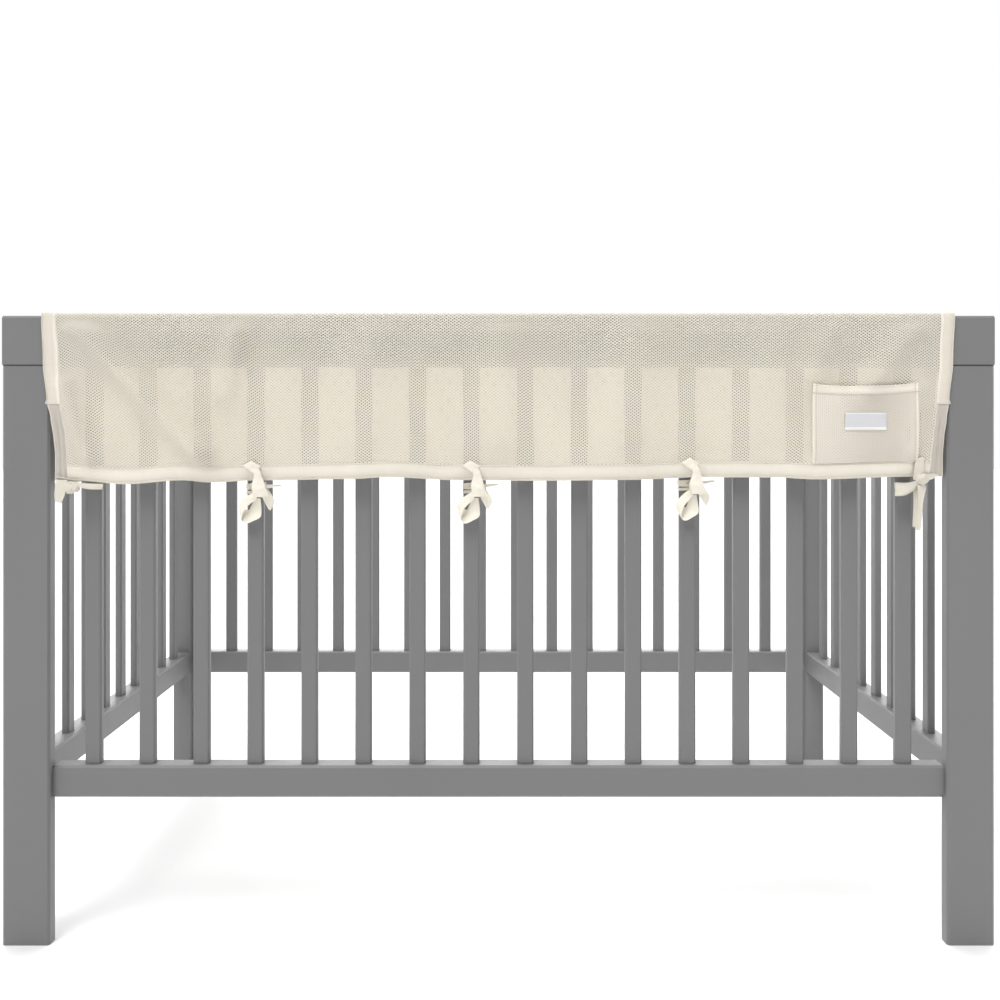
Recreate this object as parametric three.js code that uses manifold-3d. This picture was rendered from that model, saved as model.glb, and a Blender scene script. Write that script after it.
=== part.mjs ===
// A crib rail cover: sheer mesh cloth draped over the front top rail of a wooden crib, bound at its edges,
// with a patch pocket, a blank label and five ties. The crib that it hangs from is built with it, plain.
// Millimetres, +Z up, +X along the rail to the right, the front of the crib towards -Y.
import * as THREE from "three";
import { mergeVertices } from "three/addons/utils/BufferGeometryUtils.js";
import Module from "manifold-3d";

const wasm = await Module();
wasm.setup();

// Crib
const CRIB_HEIGHT = 889;
const CRIB_LENGTH = 1401;
const CRIB_DEPTH = 791;
const RAIL_HEIGHT = 71;
const RAIL_DEPTH = 45;
const STILE_WIDTH = 67;
const STILE_DEPTH = 18;
const LEG_WIDTH = 36;
const LOW_RAIL_HEIGHT = 45;
const LOW_RAIL_DEPTH = 30;
const LOW_RAIL_TOP = 250;
const SLAT_WIDTH = 23.5;
const SLAT_DEPTH = 12;
const SLAT_COUNT = 16;
const SLAT_PITCH = 77.33;
const SLAT_SETBACK = 25.5;
const END_SLAT_COUNT = 9;
const END_SLAT_PITCH = 73.5;
const EDGE_CUT = 3;
const SLAT_EDGE_CUT = 2.5;
const JOINT_GAP = 0.3;
const TENON = 6;

// Cover
const MESH_THICK = 1.6;
const BINDING_THICK = 3;
const BINDING_WIDTH = 22;
const RAIL_CLEARANCE = 2;
const SEAM_GAP = 0.6;
const SIDE_GAP = 1.8;
const COVER_BEND = 6;
const TIE_PULL = 10;
const TIE_PULL_REACH = 95;
const CORNER_PULL = 5;
const CORNER_TUCK = 5;
const POCKET_THICK = 1.8;
const HEM_THICK = 3;
const LABEL_THICK = 1;
const PLY_GAP = 0.4;
const POCKET_STANDOFF = 1.3;
const TAB_STANDOFF = 1.2;
const TAPE_THICK = 1.2;

const railFront = -CRIB_DEPTH / 2;
const railBottom = CRIB_HEIGHT - RAIL_HEIGHT;
const railBack = railFront + RAIL_DEPTH;
const halfLength = CRIB_LENGTH / 2;
const slatPlane = railFront + SLAT_SETBACK;
const slatFront = slatPlane - SLAT_DEPTH / 2;
const coverLift = RAIL_CLEARANCE + BINDING_THICK / 2;
const frontLayer = railFront - coverLift;
const backLayer = railBack + coverLift;
const coverTop = CRIB_HEIGHT + coverLift;

// Side edges of the cover, seen from the front: outer and inner edge of the strip at each side.
const SIDE_EDGES = [
  { z: 640, leftOuter: -629, leftInner: -605.5, rightInner: 605.5, rightOuter: 629.5 },
  { z: 661, leftOuter: -629, leftInner: -605.5, rightInner: 605.8, rightOuter: 629.5 },
  { z: 690, leftOuter: -629, leftInner: -606, rightInner: 608, rightOuter: 630 },
  { z: 719, leftOuter: -629.5, leftInner: -607.5, rightInner: 611.2, rightOuter: 630.3 },
  { z: 745, leftOuter: -631.5, leftInner: -611, rightInner: 614.5, rightOuter: 632 },
  { z: 768, leftOuter: -635.9, leftInner: -614.2, rightInner: 617, rightOuter: 634.9 },
  { z: 823, leftOuter: -641.2, leftInner: -617.5, rightInner: 620, rightOuter: 640.5 },
  { z: 895, leftOuter: -643.6, leftInner: -620.5, rightInner: 621.8, rightOuter: 642.9 },
];
const SIDE_BINDING_END = 764;

// Height of the bottom edge along the front, from left to right.
const BOTTOM_EDGE = [
  { x: -650, z: 656 },
  { x: -597, z: 656 },
  { x: -527, z: 651 },
  { x: -445, z: 656.5 },
  { x: -410, z: 653.5 },
  { x: -340, z: 656 },
  { x: -206, z: 658.5 },
  { x: -158, z: 661 },
  { x: -58, z: 656.5 },
  { x: 43, z: 655.7 },
  { x: 188, z: 657 },
  { x: 284, z: 660.5 },
  { x: 391, z: 660.5 },
  { x: 446, z: 658 },
  { x: 582, z: 661.5 },
  { x: 650, z: 662 },
];

// Soft drag folds of the front layer: a ridge from one point to another, its half width and its height.
const FOLDS = [
  { x0: -590, z0: 884, x1: -415, z1: 700, wide: 22, high: 5 },
  { x0: -607, z0: 790, x1: -577, z1: 690, wide: 14, high: 3.6 },
  { x0: -363, z0: 884, x1: -388, z1: 780, wide: 18, high: 3.5 },
  { x0: -178, z0: 880, x1: -182, z1: 730, wide: 42, high: 2.8 },
  { x0: -2, z0: 880, x1: 6, z1: 720, wide: 30, high: 3.2 },
  { x0: 199, z0: 880, x1: 190, z1: 730, wide: 42, high: 2.8 },
  { x0: 389, z0: 880, x1: 380, z1: 730, wide: 38, high: 2.4 },
  { x0: 473, z0: 886, x1: 443, z1: 806, wide: 20, high: 3.4 },
  { x0: 592, z0: 886, x1: 511, z1: 777, wide: 18, high: 4.4 },
  { x0: 597, z0: 782, x1: 583, z1: 692, wide: 13, high: 3 },
];

// The patch pocket and its label, by their corners on the front.
const POCKET = { left: 440.4, right: 588.2, topLeft: 792.3, topRight: 794, sag: 4, hem: 14, side: 7, bulge: 2.6 };
const LABEL = { left: 486, right: 543.6, bottom: 727.5, top: 751.6 };

// Ties: the slats that the bows are tied to, counted from the left, and the middles of the two corner ties.
const BOW_SLATS = [
  { name: "tie_left", slat: 4 },
  { name: "tie_middle", slat: 8 },
  { name: "tie_right", slat: 12 },
];
const CORNER_TIE_X = 599;

// Materials
const paint = new THREE.MeshStandardMaterial({ color: 0x868686, roughness: 0.55, metalness: 0 });
const meshCloth = new THREE.MeshStandardMaterial({ color: 0xe6decf, roughness: 0.95, metalness: 0 });
const bindingCloth = new THREE.MeshStandardMaterial({ color: 0xf0e8d9, roughness: 0.9, metalness: 0 });
const satin = new THREE.MeshStandardMaterial({ color: 0xd4d5d9, roughness: 0.4, metalness: 0 });

const model = new THREE.Group();

function place(name, geometry, material) {
  const mesh = new THREE.Mesh(geometry, material);
  mesh.name = name;
  model.add(mesh);
}

// Solids and joins
function solidOf(geometry) {
  const bare = geometry.clone();
  bare.deleteAttribute("normal");
  bare.deleteAttribute("uv");
  const merged = mergeVertices(bare, 1e-4);
  return new wasm.Manifold(
    new wasm.Mesh({
      numProp: 3,
      vertProperties: new Float32Array(merged.attributes.position.array),
      triVerts: new Uint32Array(merged.index.array),
    }),
  );
}

function geometryOf(solid) {
  const mesh = solid.getMesh();
  const geometry = new THREE.BufferGeometry();
  geometry.setAttribute("position", new THREE.BufferAttribute(mesh.vertProperties, 3));
  geometry.setIndex(new THREE.BufferAttribute(mesh.triVerts, 1));
  geometry.computeVertexNormals();
  return geometry;
}

function fuse(geometries) {
  return geometryOf(geometries.map(solidOf).reduce((whole, next) => whole.add(next)));
}

// A bar with chamfered edges: its spans along X, Y and Z, and the axis that it runs along.
const CROSS_AXES = { x: ["y", "z"], y: ["z", "x"], z: ["x", "y"] };
const UNIT = { x: new THREE.Vector3(1, 0, 0), y: new THREE.Vector3(0, 1, 0), z: new THREE.Vector3(0, 0, 1) };

function chamferedOutline([a0, a1], [b0, b1], cut) {
  return [
    [a0 + cut, b0],
    [a1 - cut, b0],
    [a1, b0 + cut],
    [a1, b1 - cut],
    [a1 - cut, b1],
    [a0 + cut, b1],
    [a0, b1 - cut],
    [a0, b0 + cut],
  ].map(([a, b]) => new THREE.Vector2(a, b));
}

function extrude(shape, along, [from, to]) {
  const [first, second] = CROSS_AXES[along];
  const geometry = new THREE.ExtrudeGeometry(shape, { depth: to - from, bevelEnabled: false, steps: 1 });
  geometry.translate(0, 0, from);
  geometry.applyMatrix4(new THREE.Matrix4().makeBasis(UNIT[first], UNIT[second], UNIT[along]));
  return geometry;
}

function bar(spans, along, cut = EDGE_CUT) {
  const [first, second] = CROSS_AXES[along];
  return extrude(new THREE.Shape(chamferedOutline(spans[first], spans[second], cut)), along, spans[along]);
}

function around(middle, size) {
  return [middle - size / 2, middle + size / 2];
}

function mirrored(span, flip) {
  return flip < 0 ? [-span[1], -span[0]] : span;
}

// Crib frame
function slatX(number) {
  return (number - (SLAT_COUNT + 1) / 2) * SLAT_PITCH;
}

function buildFrontPanel() {
  const y = [railFront, railBack];
  place("front_top_rail", bar({ x: [-halfLength, halfLength], y, z: [railBottom, CRIB_HEIGHT] }, "x"), paint);
  const reach = halfLength - STILE_WIDTH - JOINT_GAP;
  const lowRail = {
    x: [-reach, reach],
    y: around(slatPlane, LOW_RAIL_DEPTH),
    z: [LOW_RAIL_TOP - LOW_RAIL_HEIGHT, LOW_RAIL_TOP],
  };
  place("front_bottom_rail", bar(lowRail, "x"), paint);
  for (let number = 1; number <= SLAT_COUNT; number += 1) {
    const slat = {
      x: around(slatX(number), SLAT_WIDTH),
      y: around(slatPlane, SLAT_DEPTH),
      z: [LOW_RAIL_TOP + JOINT_GAP, railBottom - JOINT_GAP],
    };
    place("front_slat_" + String(number).padStart(2, "0"), bar(slat, "z", SLAT_EDGE_CUT), paint);
  }
}

function buildBackPanel() {
  const pieces = [
    bar({ x: [-halfLength, halfLength], y: [-railBack, -railFront], z: [railBottom, CRIB_HEIGHT] }, "x"),
    bar(
      {
        x: around(0, CRIB_LENGTH - 2 * (STILE_WIDTH + JOINT_GAP)),
        y: around(-slatPlane, LOW_RAIL_DEPTH),
        z: [LOW_RAIL_TOP - LOW_RAIL_HEIGHT, LOW_RAIL_TOP],
      },
      "x",
    ),
  ];
  for (let number = 1; number <= SLAT_COUNT; number += 1) {
    const slat = {
      x: around(slatX(number), SLAT_WIDTH),
      y: around(-slatPlane, SLAT_DEPTH),
      z: [LOW_RAIL_TOP - TENON, railBottom + TENON],
    };
    pieces.push(bar(slat, "z", SLAT_EDGE_CUT));
  }
  place("back_panel", fuse(pieces), paint);
}

// A corner post is an angle in plan: a wide thin stile in the panel's plane and a narrow leg behind it.
function buildPost(name, sideX, sideY) {
  const outer = halfLength;
  const face = -railFront;
  const corners = [
    [outer, face - EDGE_CUT],
    [outer, -railBack],
    [outer - LEG_WIDTH, -railBack],
    [outer - LEG_WIDTH, face - STILE_DEPTH],
    [outer - STILE_WIDTH, face - STILE_DEPTH],
    [outer - STILE_WIDTH, face - EDGE_CUT],
    [outer - STILE_WIDTH + EDGE_CUT, face],
    [outer - EDGE_CUT, face],
  ].map(([x, y]) => new THREE.Vector2(x * sideX, y * sideY));
  place(name, extrude(new THREE.Shape(corners), "z", [0, railBottom - JOINT_GAP]), paint);
}

function buildEndPanel(name, sideX) {
  const run = around(0, 2 * (-railBack - JOINT_GAP));
  const outer = [halfLength - LEG_WIDTH, halfLength];
  const middle = sideX * (halfLength - LEG_WIDTH / 2);
  const pieces = [
    bar({ x: mirrored(outer, sideX), y: run, z: [railBottom, CRIB_HEIGHT] }, "y"),
    bar({ x: mirrored(outer, sideX), y: run, z: [LOW_RAIL_TOP - LOW_RAIL_HEIGHT, LOW_RAIL_TOP] }, "y"),
  ];
  for (let number = 1; number <= END_SLAT_COUNT; number += 1) {
    const slat = {
      x: around(middle, SLAT_DEPTH),
      y: around((number - (END_SLAT_COUNT + 1) / 2) * END_SLAT_PITCH, SLAT_WIDTH),
      z: [LOW_RAIL_TOP - TENON, railBottom + TENON],
    };
    pieces.push(bar(slat, "z", SLAT_EDGE_CUT));
  }
  place(name, fuse(pieces), paint);
}

// The hanging surface of the cover
function readTable(table, key, at, value) {
  const last = table.length - 1;
  if (at <= table[0][key]) return table[0][value];
  if (at >= table[last][key]) return table[last][value];
  const next = table.findIndex((row) => row[key] > at);
  const share = (at - table[next - 1][key]) / (table[next][key] - table[next - 1][key]);
  const smooth = share * share * (3 - 2 * share);
  return THREE.MathUtils.lerp(table[next - 1][value], table[next][value], smooth);
}

function edgeAt(z, edge) {
  return readTable(SIDE_EDGES, "z", z, edge);
}

function bottomAt(x) {
  return readTable(BOTTOM_EDGE, "x", x, "z");
}

const pullPoints = [
  ...BOW_SLATS.map((bow) => ({ x: slatX(bow.slat), pull: TIE_PULL })),
  { x: -CORNER_TIE_X, pull: CORNER_PULL },
  { x: CORNER_TIE_X, pull: CORNER_PULL },
];

function foldAt(fold, x, z) {
  const along = new THREE.Vector2(fold.x1 - fold.x0, fold.z1 - fold.z0);
  const from = new THREE.Vector2(x - fold.x0, z - fold.z0);
  const share = THREE.MathUtils.clamp(from.dot(along) / along.lengthSq(), 0, 1);
  const off = from.distanceTo(along.multiplyScalar(share));
  return fold.high * Math.exp(-((off / fold.wide) ** 2));
}

// How far the ties draw the cloth in towards the slats: least at the rail, most at the bottom edge.
function drawnIn(x, z) {
  const hang = THREE.MathUtils.clamp((railBottom - z) / (railBottom - BOTTOM_EDGE[0].z), 0, 1.1);
  const pull = Math.max(...pullPoints.map((at) => at.pull * Math.exp(-(((x - at.x) / TIE_PULL_REACH) ** 2))));
  return hang ** 3 * pull;
}

function frontY(x, z) {
  const folds = FOLDS.reduce((sum, fold) => sum + foldAt(fold, x, z), 0);
  const fade = THREE.MathUtils.smoothstep(coverTop - z, COVER_BEND, 5 * COVER_BEND);
  return frontLayer - fade * folds + drawnIn(x, z);
}

function backY(x, z) {
  return backLayer - drawnIn(x, z);
}

// A point of the cover's middle surface: the path runs up the front, over the rail and down the back.
const FRONT_ROWS = 9;
const BEND_ROWS = 2;
const BACK_ROWS = 6;
const OVER_ROWS = 2 * BEND_ROWS + 1;
const PATH_ROWS = FRONT_ROWS + OVER_ROWS + BACK_ROWS;

function overRail(step) {
  const atFront = step <= BEND_ROWS;
  const turn = ((atFront ? step : step - 1) / BEND_ROWS) * (Math.PI / 2);
  const centreY = atFront ? frontLayer + COVER_BEND : backLayer - COVER_BEND;
  return [centreY - COVER_BEND * Math.cos(turn), coverTop - COVER_BEND + COVER_BEND * Math.sin(turn)];
}

function coverPoint(row, xAt, lowest) {
  const high = coverTop - COVER_BEND;
  if (row > FRONT_ROWS && row < FRONT_ROWS + OVER_ROWS) {
    const [y, z] = overRail(row - FRONT_ROWS);
    return new THREE.Vector3(xAt(z), y, z);
  }
  const share = row <= FRONT_ROWS ? row / FRONT_ROWS : (PATH_ROWS - row) / BACK_ROWS;
  const x = xAt(THREE.MathUtils.lerp(lowest(xAt(high)), high, share));
  const z = THREE.MathUtils.lerp(lowest(x), high, share);
  return new THREE.Vector3(x, row <= FRONT_ROWS ? frontY(x, z) : backY(x, z), z);
}

// A closed sheet: a grid of middle points, thickened to both sides along its own normals.
function sheet(columns, rows, middle, thickness) {
  const grid = [];
  for (let row = 0; row <= rows; row += 1) {
    for (let column = 0; column <= columns; column += 1) grid.push(middle(column, row));
  }
  const index = (column, row) => row * (columns + 1) + column;
  const at = (column, row) =>
    grid[index(THREE.MathUtils.clamp(column, 0, columns), THREE.MathUtils.clamp(row, 0, rows))];
  const count = grid.length;
  const positions = new Float32Array(count * 6);
  for (let row = 0; row <= rows; row += 1) {
    for (let column = 0; column <= columns; column += 1) {
      const across = at(column + 1, row).clone().sub(at(column - 1, row));
      const up = at(column, row + 1).clone().sub(at(column, row - 1));
      const half = across.cross(up).normalize().multiplyScalar(thickness(column, row) / 2);
      const here = index(column, row);
      at(column, row).clone().add(half).toArray(positions, here * 3);
      at(column, row).clone().sub(half).toArray(positions, (count + here) * 3);
    }
  }
  const faces = [];
  for (let row = 0; row < rows; row += 1) {
    for (let column = 0; column < columns; column += 1) {
      const a = index(column, row);
      const b = index(column + 1, row);
      const c = index(column + 1, row + 1);
      const d = index(column, row + 1);
      faces.push(a, b, c, a, c, d, count + a, count + c, count + b, count + a, count + d, count + c);
    }
  }
  const rim = [];
  for (let column = 0; column < columns; column += 1) rim.push(index(column, 0));
  for (let row = 0; row < rows; row += 1) rim.push(index(columns, row));
  for (let column = columns; column > 0; column -= 1) rim.push(index(column, rows));
  for (let row = rows; row > 0; row -= 1) rim.push(index(0, row));
  rim.forEach((p, place) => {
    const q = rim[(place + 1) % rim.length];
    faces.push(q, p, count + p, q, count + p, count + q);
  });
  const geometry = new THREE.BufferGeometry();
  geometry.setAttribute("position", new THREE.BufferAttribute(positions, 3));
  geometry.setIndex(faces);
  geometry.computeVertexNormals();
  return geometry;
}

// Cover cloth
const MESH_COLUMNS = 48;

function buildMeshPanel() {
  const lowest = (x) => bottomAt(x) + BINDING_WIDTH + SEAM_GAP;
  const middle = (column, row) => {
    const share = column / MESH_COLUMNS;
    const left = (z) => edgeAt(z, "leftInner") + SIDE_GAP;
    const right = (z) => edgeAt(z, "rightInner") - SIDE_GAP;
    return coverPoint(row, (z) => THREE.MathUtils.lerp(left(z), right(z), share), lowest);
  };
  place("cover_mesh", sheet(MESH_COLUMNS, PATH_ROWS, middle, () => MESH_THICK), meshCloth);
}

function buildBottomBinding(name, surfaceY, flip) {
  const rows = 2;
  const middle = (column, row) => {
    const share = flip > 0 ? column / MESH_COLUMNS : 1 - column / MESH_COLUMNS;
    const left = edgeAt(bottomAt(0), "leftInner") + SIDE_GAP;
    const right = edgeAt(bottomAt(0), "rightInner") - SIDE_GAP;
    const x = THREE.MathUtils.lerp(left, right, share);
    const z = bottomAt(x) + (BINDING_WIDTH * row) / rows;
    return new THREE.Vector3(x, surfaceY(x, z), z);
  };
  place(name, sheet(MESH_COLUMNS, rows, middle, () => BINDING_THICK), bindingCloth);
}

function buildSideBinding(side) {
  const columns = 2;
  const [from, to] = side === "left" ? ["leftOuter", "leftInner"] : ["rightInner", "rightOuter"];
  const middle = (column, row) => {
    const xAt = (z) => THREE.MathUtils.lerp(edgeAt(z, from), edgeAt(z, to), column / columns);
    return coverPoint(row, xAt, () => SIDE_BINDING_END);
  };
  place("side_binding_" + side, sheet(columns, PATH_ROWS, middle, () => BINDING_THICK), bindingCloth);
}

// Below the side binding a narrower strip runs down to the bottom edge and tucks back beside the post.
function buildCornerStrip(name, side, surfaceY, back) {
  const columns = 4;
  const rows = 8;
  const [from, to] = side === "left" ? ["leftOuter", "leftInner"] : ["rightInner", "rightOuter"];
  const middle = (column, row) => {
    const share = back ? 1 - column / columns : column / columns;
    const towardsEdge = side === "left" ? 1 - share : share;
    const z = THREE.MathUtils.lerp(bottomAt(side === "left" ? -614 : 614), SIDE_BINDING_END - SEAM_GAP, row / rows);
    const x = THREE.MathUtils.lerp(edgeAt(z, from), edgeAt(z, to), share);
    const tucked = CORNER_TUCK * towardsEdge ** 2 * THREE.MathUtils.smoothstep(735 - z, 0, 45);
    return new THREE.Vector3(x, surfaceY(x, z) + (back ? -tucked : tucked), z);
  };
  place(name, sheet(columns, rows, middle, () => BINDING_THICK), bindingCloth);
}

function buildPocket() {
  const columns = 12;
  const rows = 10;
  const hemRow = rows - 2;
  const lift = MESH_THICK / 2 + POCKET_STANDOFF + HEM_THICK / 2;
  const middle = (column, row) => {
    const sideShare = POCKET.side / (POCKET.right - POCKET.left);
    const across = (column - 1) / (columns - 2);
    const share = THREE.MathUtils.clamp(THREE.MathUtils.lerp(sideShare, 1 - sideShare, across), 0, 1);
    const u = column === 0 ? 0 : column === columns ? 1 : share;
    const x = THREE.MathUtils.lerp(POCKET.left, POCKET.right, u);
    const arch = 4 * u * (1 - u);
    const top = THREE.MathUtils.lerp(POCKET.topLeft, POCKET.topRight, u) - POCKET.sag * arch;
    const bottom = bottomAt(x) + BINDING_WIDTH + SEAM_GAP;
    const hemFoot = top - POCKET.hem;
    const z =
      row <= hemRow
        ? THREE.MathUtils.lerp(bottom, hemFoot, row / hemRow)
        : THREE.MathUtils.lerp(hemFoot, top, (row - hemRow) / (rows - hemRow));
    return new THREE.Vector3(x, frontY(x, z) - lift - POCKET.bulge * arch * (row / rows), z);
  };
  const thickness = (column, row) =>
    row > hemRow || column === 0 || column === columns ? HEM_THICK : POCKET_THICK;
  place("pocket", sheet(columns, rows, middle, thickness), meshCloth);
}

function buildLabel() {
  const columns = 5;
  const rows = 2;
  const pocketFront = MESH_THICK / 2 + POCKET_STANDOFF + (HEM_THICK + POCKET_THICK) / 2;
  const lift = pocketFront + PLY_GAP + LABEL_THICK / 2;
  const middle = (column, row) => {
    const x = THREE.MathUtils.lerp(LABEL.left, LABEL.right, column / columns);
    const z = THREE.MathUtils.lerp(LABEL.bottom, LABEL.top, row / rows);
    return new THREE.Vector3(x, frontY(x, z) - lift - POCKET.bulge, z);
  };
  place("label", sheet(columns, rows, middle, () => LABEL_THICK), satin);
}

// Ties
const RIBBON_STEPS = 2;

// A flat tape: each station has its centre and half its width as a vector.
function ribbon(stations) {
  const centre = new THREE.CatmullRomCurve3(stations.map((s) => new THREE.Vector3(s.x, s.y, s.z)));
  const wide = new THREE.CatmullRomCurve3(stations.map((s) => new THREE.Vector3(...s.half)));
  const rows = (stations.length - 1) * RIBBON_STEPS;
  const middle = (column, row) =>
    centre.getPoint(row / rows).addScaledVector(wide.getPoint(row / rows), column === 0 ? -1 : 1);
  return sheet(1, rows, middle, () => TAPE_THICK);
}

function lump(x, y, z, halfX, halfY, halfZ) {
  return new THREE.SphereGeometry(1, 10, 7).scale(halfX, halfY, halfZ).translate(x, y, z);
}

// The tape's wrap round a slat, at a height.
function wrap(slatCentre, low, high) {
  const half = (size, off) => size / 2 + off;
  const outline = (off) =>
    chamferedOutline(
      [slatCentre - half(SLAT_WIDTH, off), slatCentre + half(SLAT_WIDTH, off)],
      [slatPlane - half(SLAT_DEPTH, off), slatPlane + half(SLAT_DEPTH, off)],
      SLAT_EDGE_CUT,
    );
  const shape = new THREE.Shape(outline(PLY_GAP + TAPE_THICK));
  shape.holes.push(new THREE.Path(outline(PLY_GAP)));
  return extrude(shape, "z", [low, high]);
}

// The stations below are measured from the slat's middle, the slat's front face and the cover's bottom edge.
const BOW_LOOP = [
  { x: 6, y: -10, z: -12, half: [-3, 0, 3] },
  { x: -5, y: -12, z: -23, half: [-4.4, 0, 4] },
  { x: -13, y: -13, z: -33, half: [-4.6, -1, 4] },
  { x: -18, y: -9, z: -43, half: [-3, -4.5, 2.5] },
  { x: -14, y: -5, z: -52, half: [1, -6, -1.5] },
  { x: -4, y: -6, z: -52, half: [5, -2.5, -5] },
  { x: 3, y: -9, z: -44, half: [6.5, 0, -1] },
  { x: 6, y: -10, z: -30, half: [4.5, 0, 0] },
  { x: 8, y: -9, z: -15, half: [3, 0, 0] },
];
const BOW_TAIL = [
  { x: 10, y: -9, z: -9, half: [3, 0, 3] },
  { x: 17, y: -10, z: -20, half: [4.5, 0, 3.5] },
  { x: 23, y: -8, z: -30, half: [5, 0, 3] },
  { x: 25, y: -7, z: -40, half: [1.2, 0, 1] },
];
const BOW_THIN_TAIL = [
  { x: 12, y: -9, z: -8, half: [0, 3, 0.5] },
  { x: 22, y: -9, z: -6.5, half: [0, 4.5, 1] },
  { x: 34, y: -7, z: -3, half: [0, 5, 1.2] },
];

function shifted(stations, x, y, z) {
  return stations.map((s) => ({ x: s.x + x, y: s.y + y, z: s.z + z, half: s.half }));
}

// The diamond end of the tape, sewn over the top of the binding, and the tape that falls from it.
const TAB = { low: 8, side: 23, apex: 33, half: 11, tape: 5.5 };

function tab(x, bottom) {
  const rows = 4;
  const lift = BINDING_THICK / 2 + TAB_STANDOFF + TAPE_THICK / 2;
  const middle = (column, row) => {
    const z = bottom + THREE.MathUtils.lerp(TAB.low, TAB.apex, row / rows);
    const above = (z - bottom - TAB.side) / (TAB.apex - TAB.side);
    const below = (TAB.side - z + bottom) / (TAB.side - TAB.low);
    const half = TAB.half * (1 - 0.9 * Math.max(above, 0.6 * below, 0));
    const at = x + half * (column - 1);
    return new THREE.Vector3(at, frontY(at, z) - lift, z);
  };
  return sheet(2, rows, middle, () => TAPE_THICK);
}

function fallingTape(x, bottom) {
  const lift = BINDING_THICK / 2 + TAB_STANDOFF + TAPE_THICK / 2;
  const onCloth = (z) => frontY(x, bottom + z) - lift;
  return ribbon([
    { x: x + 2, y: onCloth(13), z: bottom + 13, half: [TAB.tape, 0, 0] },
    { x: x + 6, y: onCloth(4) - 1, z: bottom + 4, half: [TAB.tape, 0, 0] },
    { x: x + 9, y: onCloth(0) - 2, z: bottom - 8, half: [TAB.tape + 1, 0, 0] },
    { x: x + 10, y: onCloth(0) - 1, z: bottom - 21, half: [TAB.tape + 1.5, 0, 0] },
  ]);
}

// A short tape joins the wrap to the inner side of the cover's back layer.
function backTape(x, bottom) {
  const wrapBack = slatPlane + SLAT_DEPTH / 2 + PLY_GAP + TAPE_THICK / 2;
  const cloth = backY(x, bottom) - BINDING_THICK / 2 - PLY_GAP - TAPE_THICK / 2;
  return ribbon([
    { x, y: wrapBack, z: bottom - 9, half: [5, 0, 0] },
    { x, y: (wrapBack + cloth) / 2, z: bottom - 4, half: [5, 0, 0] },
    { x, y: cloth, z: bottom + 3, half: [5, 0, 0] },
    { x, y: cloth, z: bottom + 16, half: [5, 0, 0] },
  ]);
}

function buildBow(name, slat) {
  const x = slatX(slat);
  const bottom = bottomAt(x);
  const parts = [
    tab(x, bottom),
    fallingTape(x, bottom),
    lump(x + 8, slatFront - 10, bottom - 12, 8, 9.5, 9.5),
    wrap(x, bottom - 9, bottom - 3.5),
    wrap(x, bottom - 15.5, bottom - 10),
    backTape(x, bottom),
    ribbon(shifted(BOW_LOOP, x, slatFront, bottom)),
    ribbon(shifted(BOW_TAIL, x, slatFront, bottom)),
    ribbon(shifted(BOW_THIN_TAIL, x, slatFront, bottom)),
  ];
  place(name, fuse(parts), bindingCloth);
}

// Corner ties, measured from the knot: X, depth towards the back of the crib, and height.
const LEFT_CORNER = {
  knot: { x: -599, z: -11, half: [9, 7, 8] },
  tapes: [
    [
      { x: 0, y: 0, z: 0, half: [0, 0, 4] },
      { x: -1, y: 14, z: 2, half: [0, 0, 5] },
      { x: 0, y: 30, z: 4, half: [0, 0, 5] },
    ],
    [
      { x: -3, y: -2, z: 0, half: [3, 0, 1] },
      { x: -11, y: -4, z: -8, half: [5, 0, -2] },
      { x: -17, y: -3, z: -24, half: [3, 0, -1.5] },
    ],
    [
      { x: 4, y: -3, z: 2, half: [0, 1, 3] },
      { x: 22, y: -5, z: 1, half: [0, 1.5, 4.5] },
      { x: 43, y: -3, z: -1, half: [0, 1, 4] },
    ],
  ],
};
const RIGHT_CORNER = {
  knot: { x: 600, z: -8, half: [9, 7, 7] },
  tapes: [
    [
      { x: 0, y: 0, z: 0, half: [0, 0, 4] },
      { x: 1, y: 14, z: 1, half: [0, 0, 5] },
      { x: 0, y: 30, z: 2, half: [0, 0, 5] },
    ],
    [
      { x: -2, y: -5, z: 2, half: [4, 0, 0] },
      { x: -7, y: -8, z: 12, half: [4, 0, 0] },
      { x: -7, y: -10, z: 22, half: [4, 0, 1] },
      { x: -3, y: -9, z: 30, half: [4, 0, 2] },
    ],
    [
      { x: -3, y: -3, z: -2, half: [0, 1, 4] },
      { x: -22, y: -6, z: -9, half: [0, 2, 6.5] },
      { x: -41, y: -4, z: -11, half: [0, 1, 7] },
      { x: -44, y: 1, z: -13, half: [0, 0, 7] },
      { x: -38, y: 4, z: -14, half: [0, -1, 6.5] },
      { x: -20, y: 2, z: -10, half: [0, -1, 6] },
      { x: -2, y: 0, z: -3, half: [0, -1, 4] },
    ],
    [
      { x: -4, y: -2, z: -2, half: [3.5, 0, 0] },
      { x: -6, y: -4, z: -26, half: [4, 1, 0] },
      { x: -9, y: -3, z: -48, half: [3.5, 2, 0] },
      { x: -11, y: -2, z: -66, half: [4.5, 1, 0] },
    ],
    [
      { x: -7, y: 1, z: -2, half: [2.5, 0, 0] },
      { x: -14, y: 2, z: -30, half: [2, 3, 0] },
      { x: -16, y: 3, z: -64, half: [2.2, 2, 0] },
    ],
  ],
};

function buildCornerTie(name, corner) {
  const { knot } = corner;
  const bottom = bottomAt(knot.x);
  const y = frontY(knot.x, bottom) + 1;
  const z = bottom + knot.z;
  const tapes = corner.tapes.map((stations) => ribbon(shifted(stations, knot.x, y, z)));
  place(name, fuse([lump(knot.x, y, z, ...knot.half), ...tapes]), bindingCloth);
}

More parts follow.
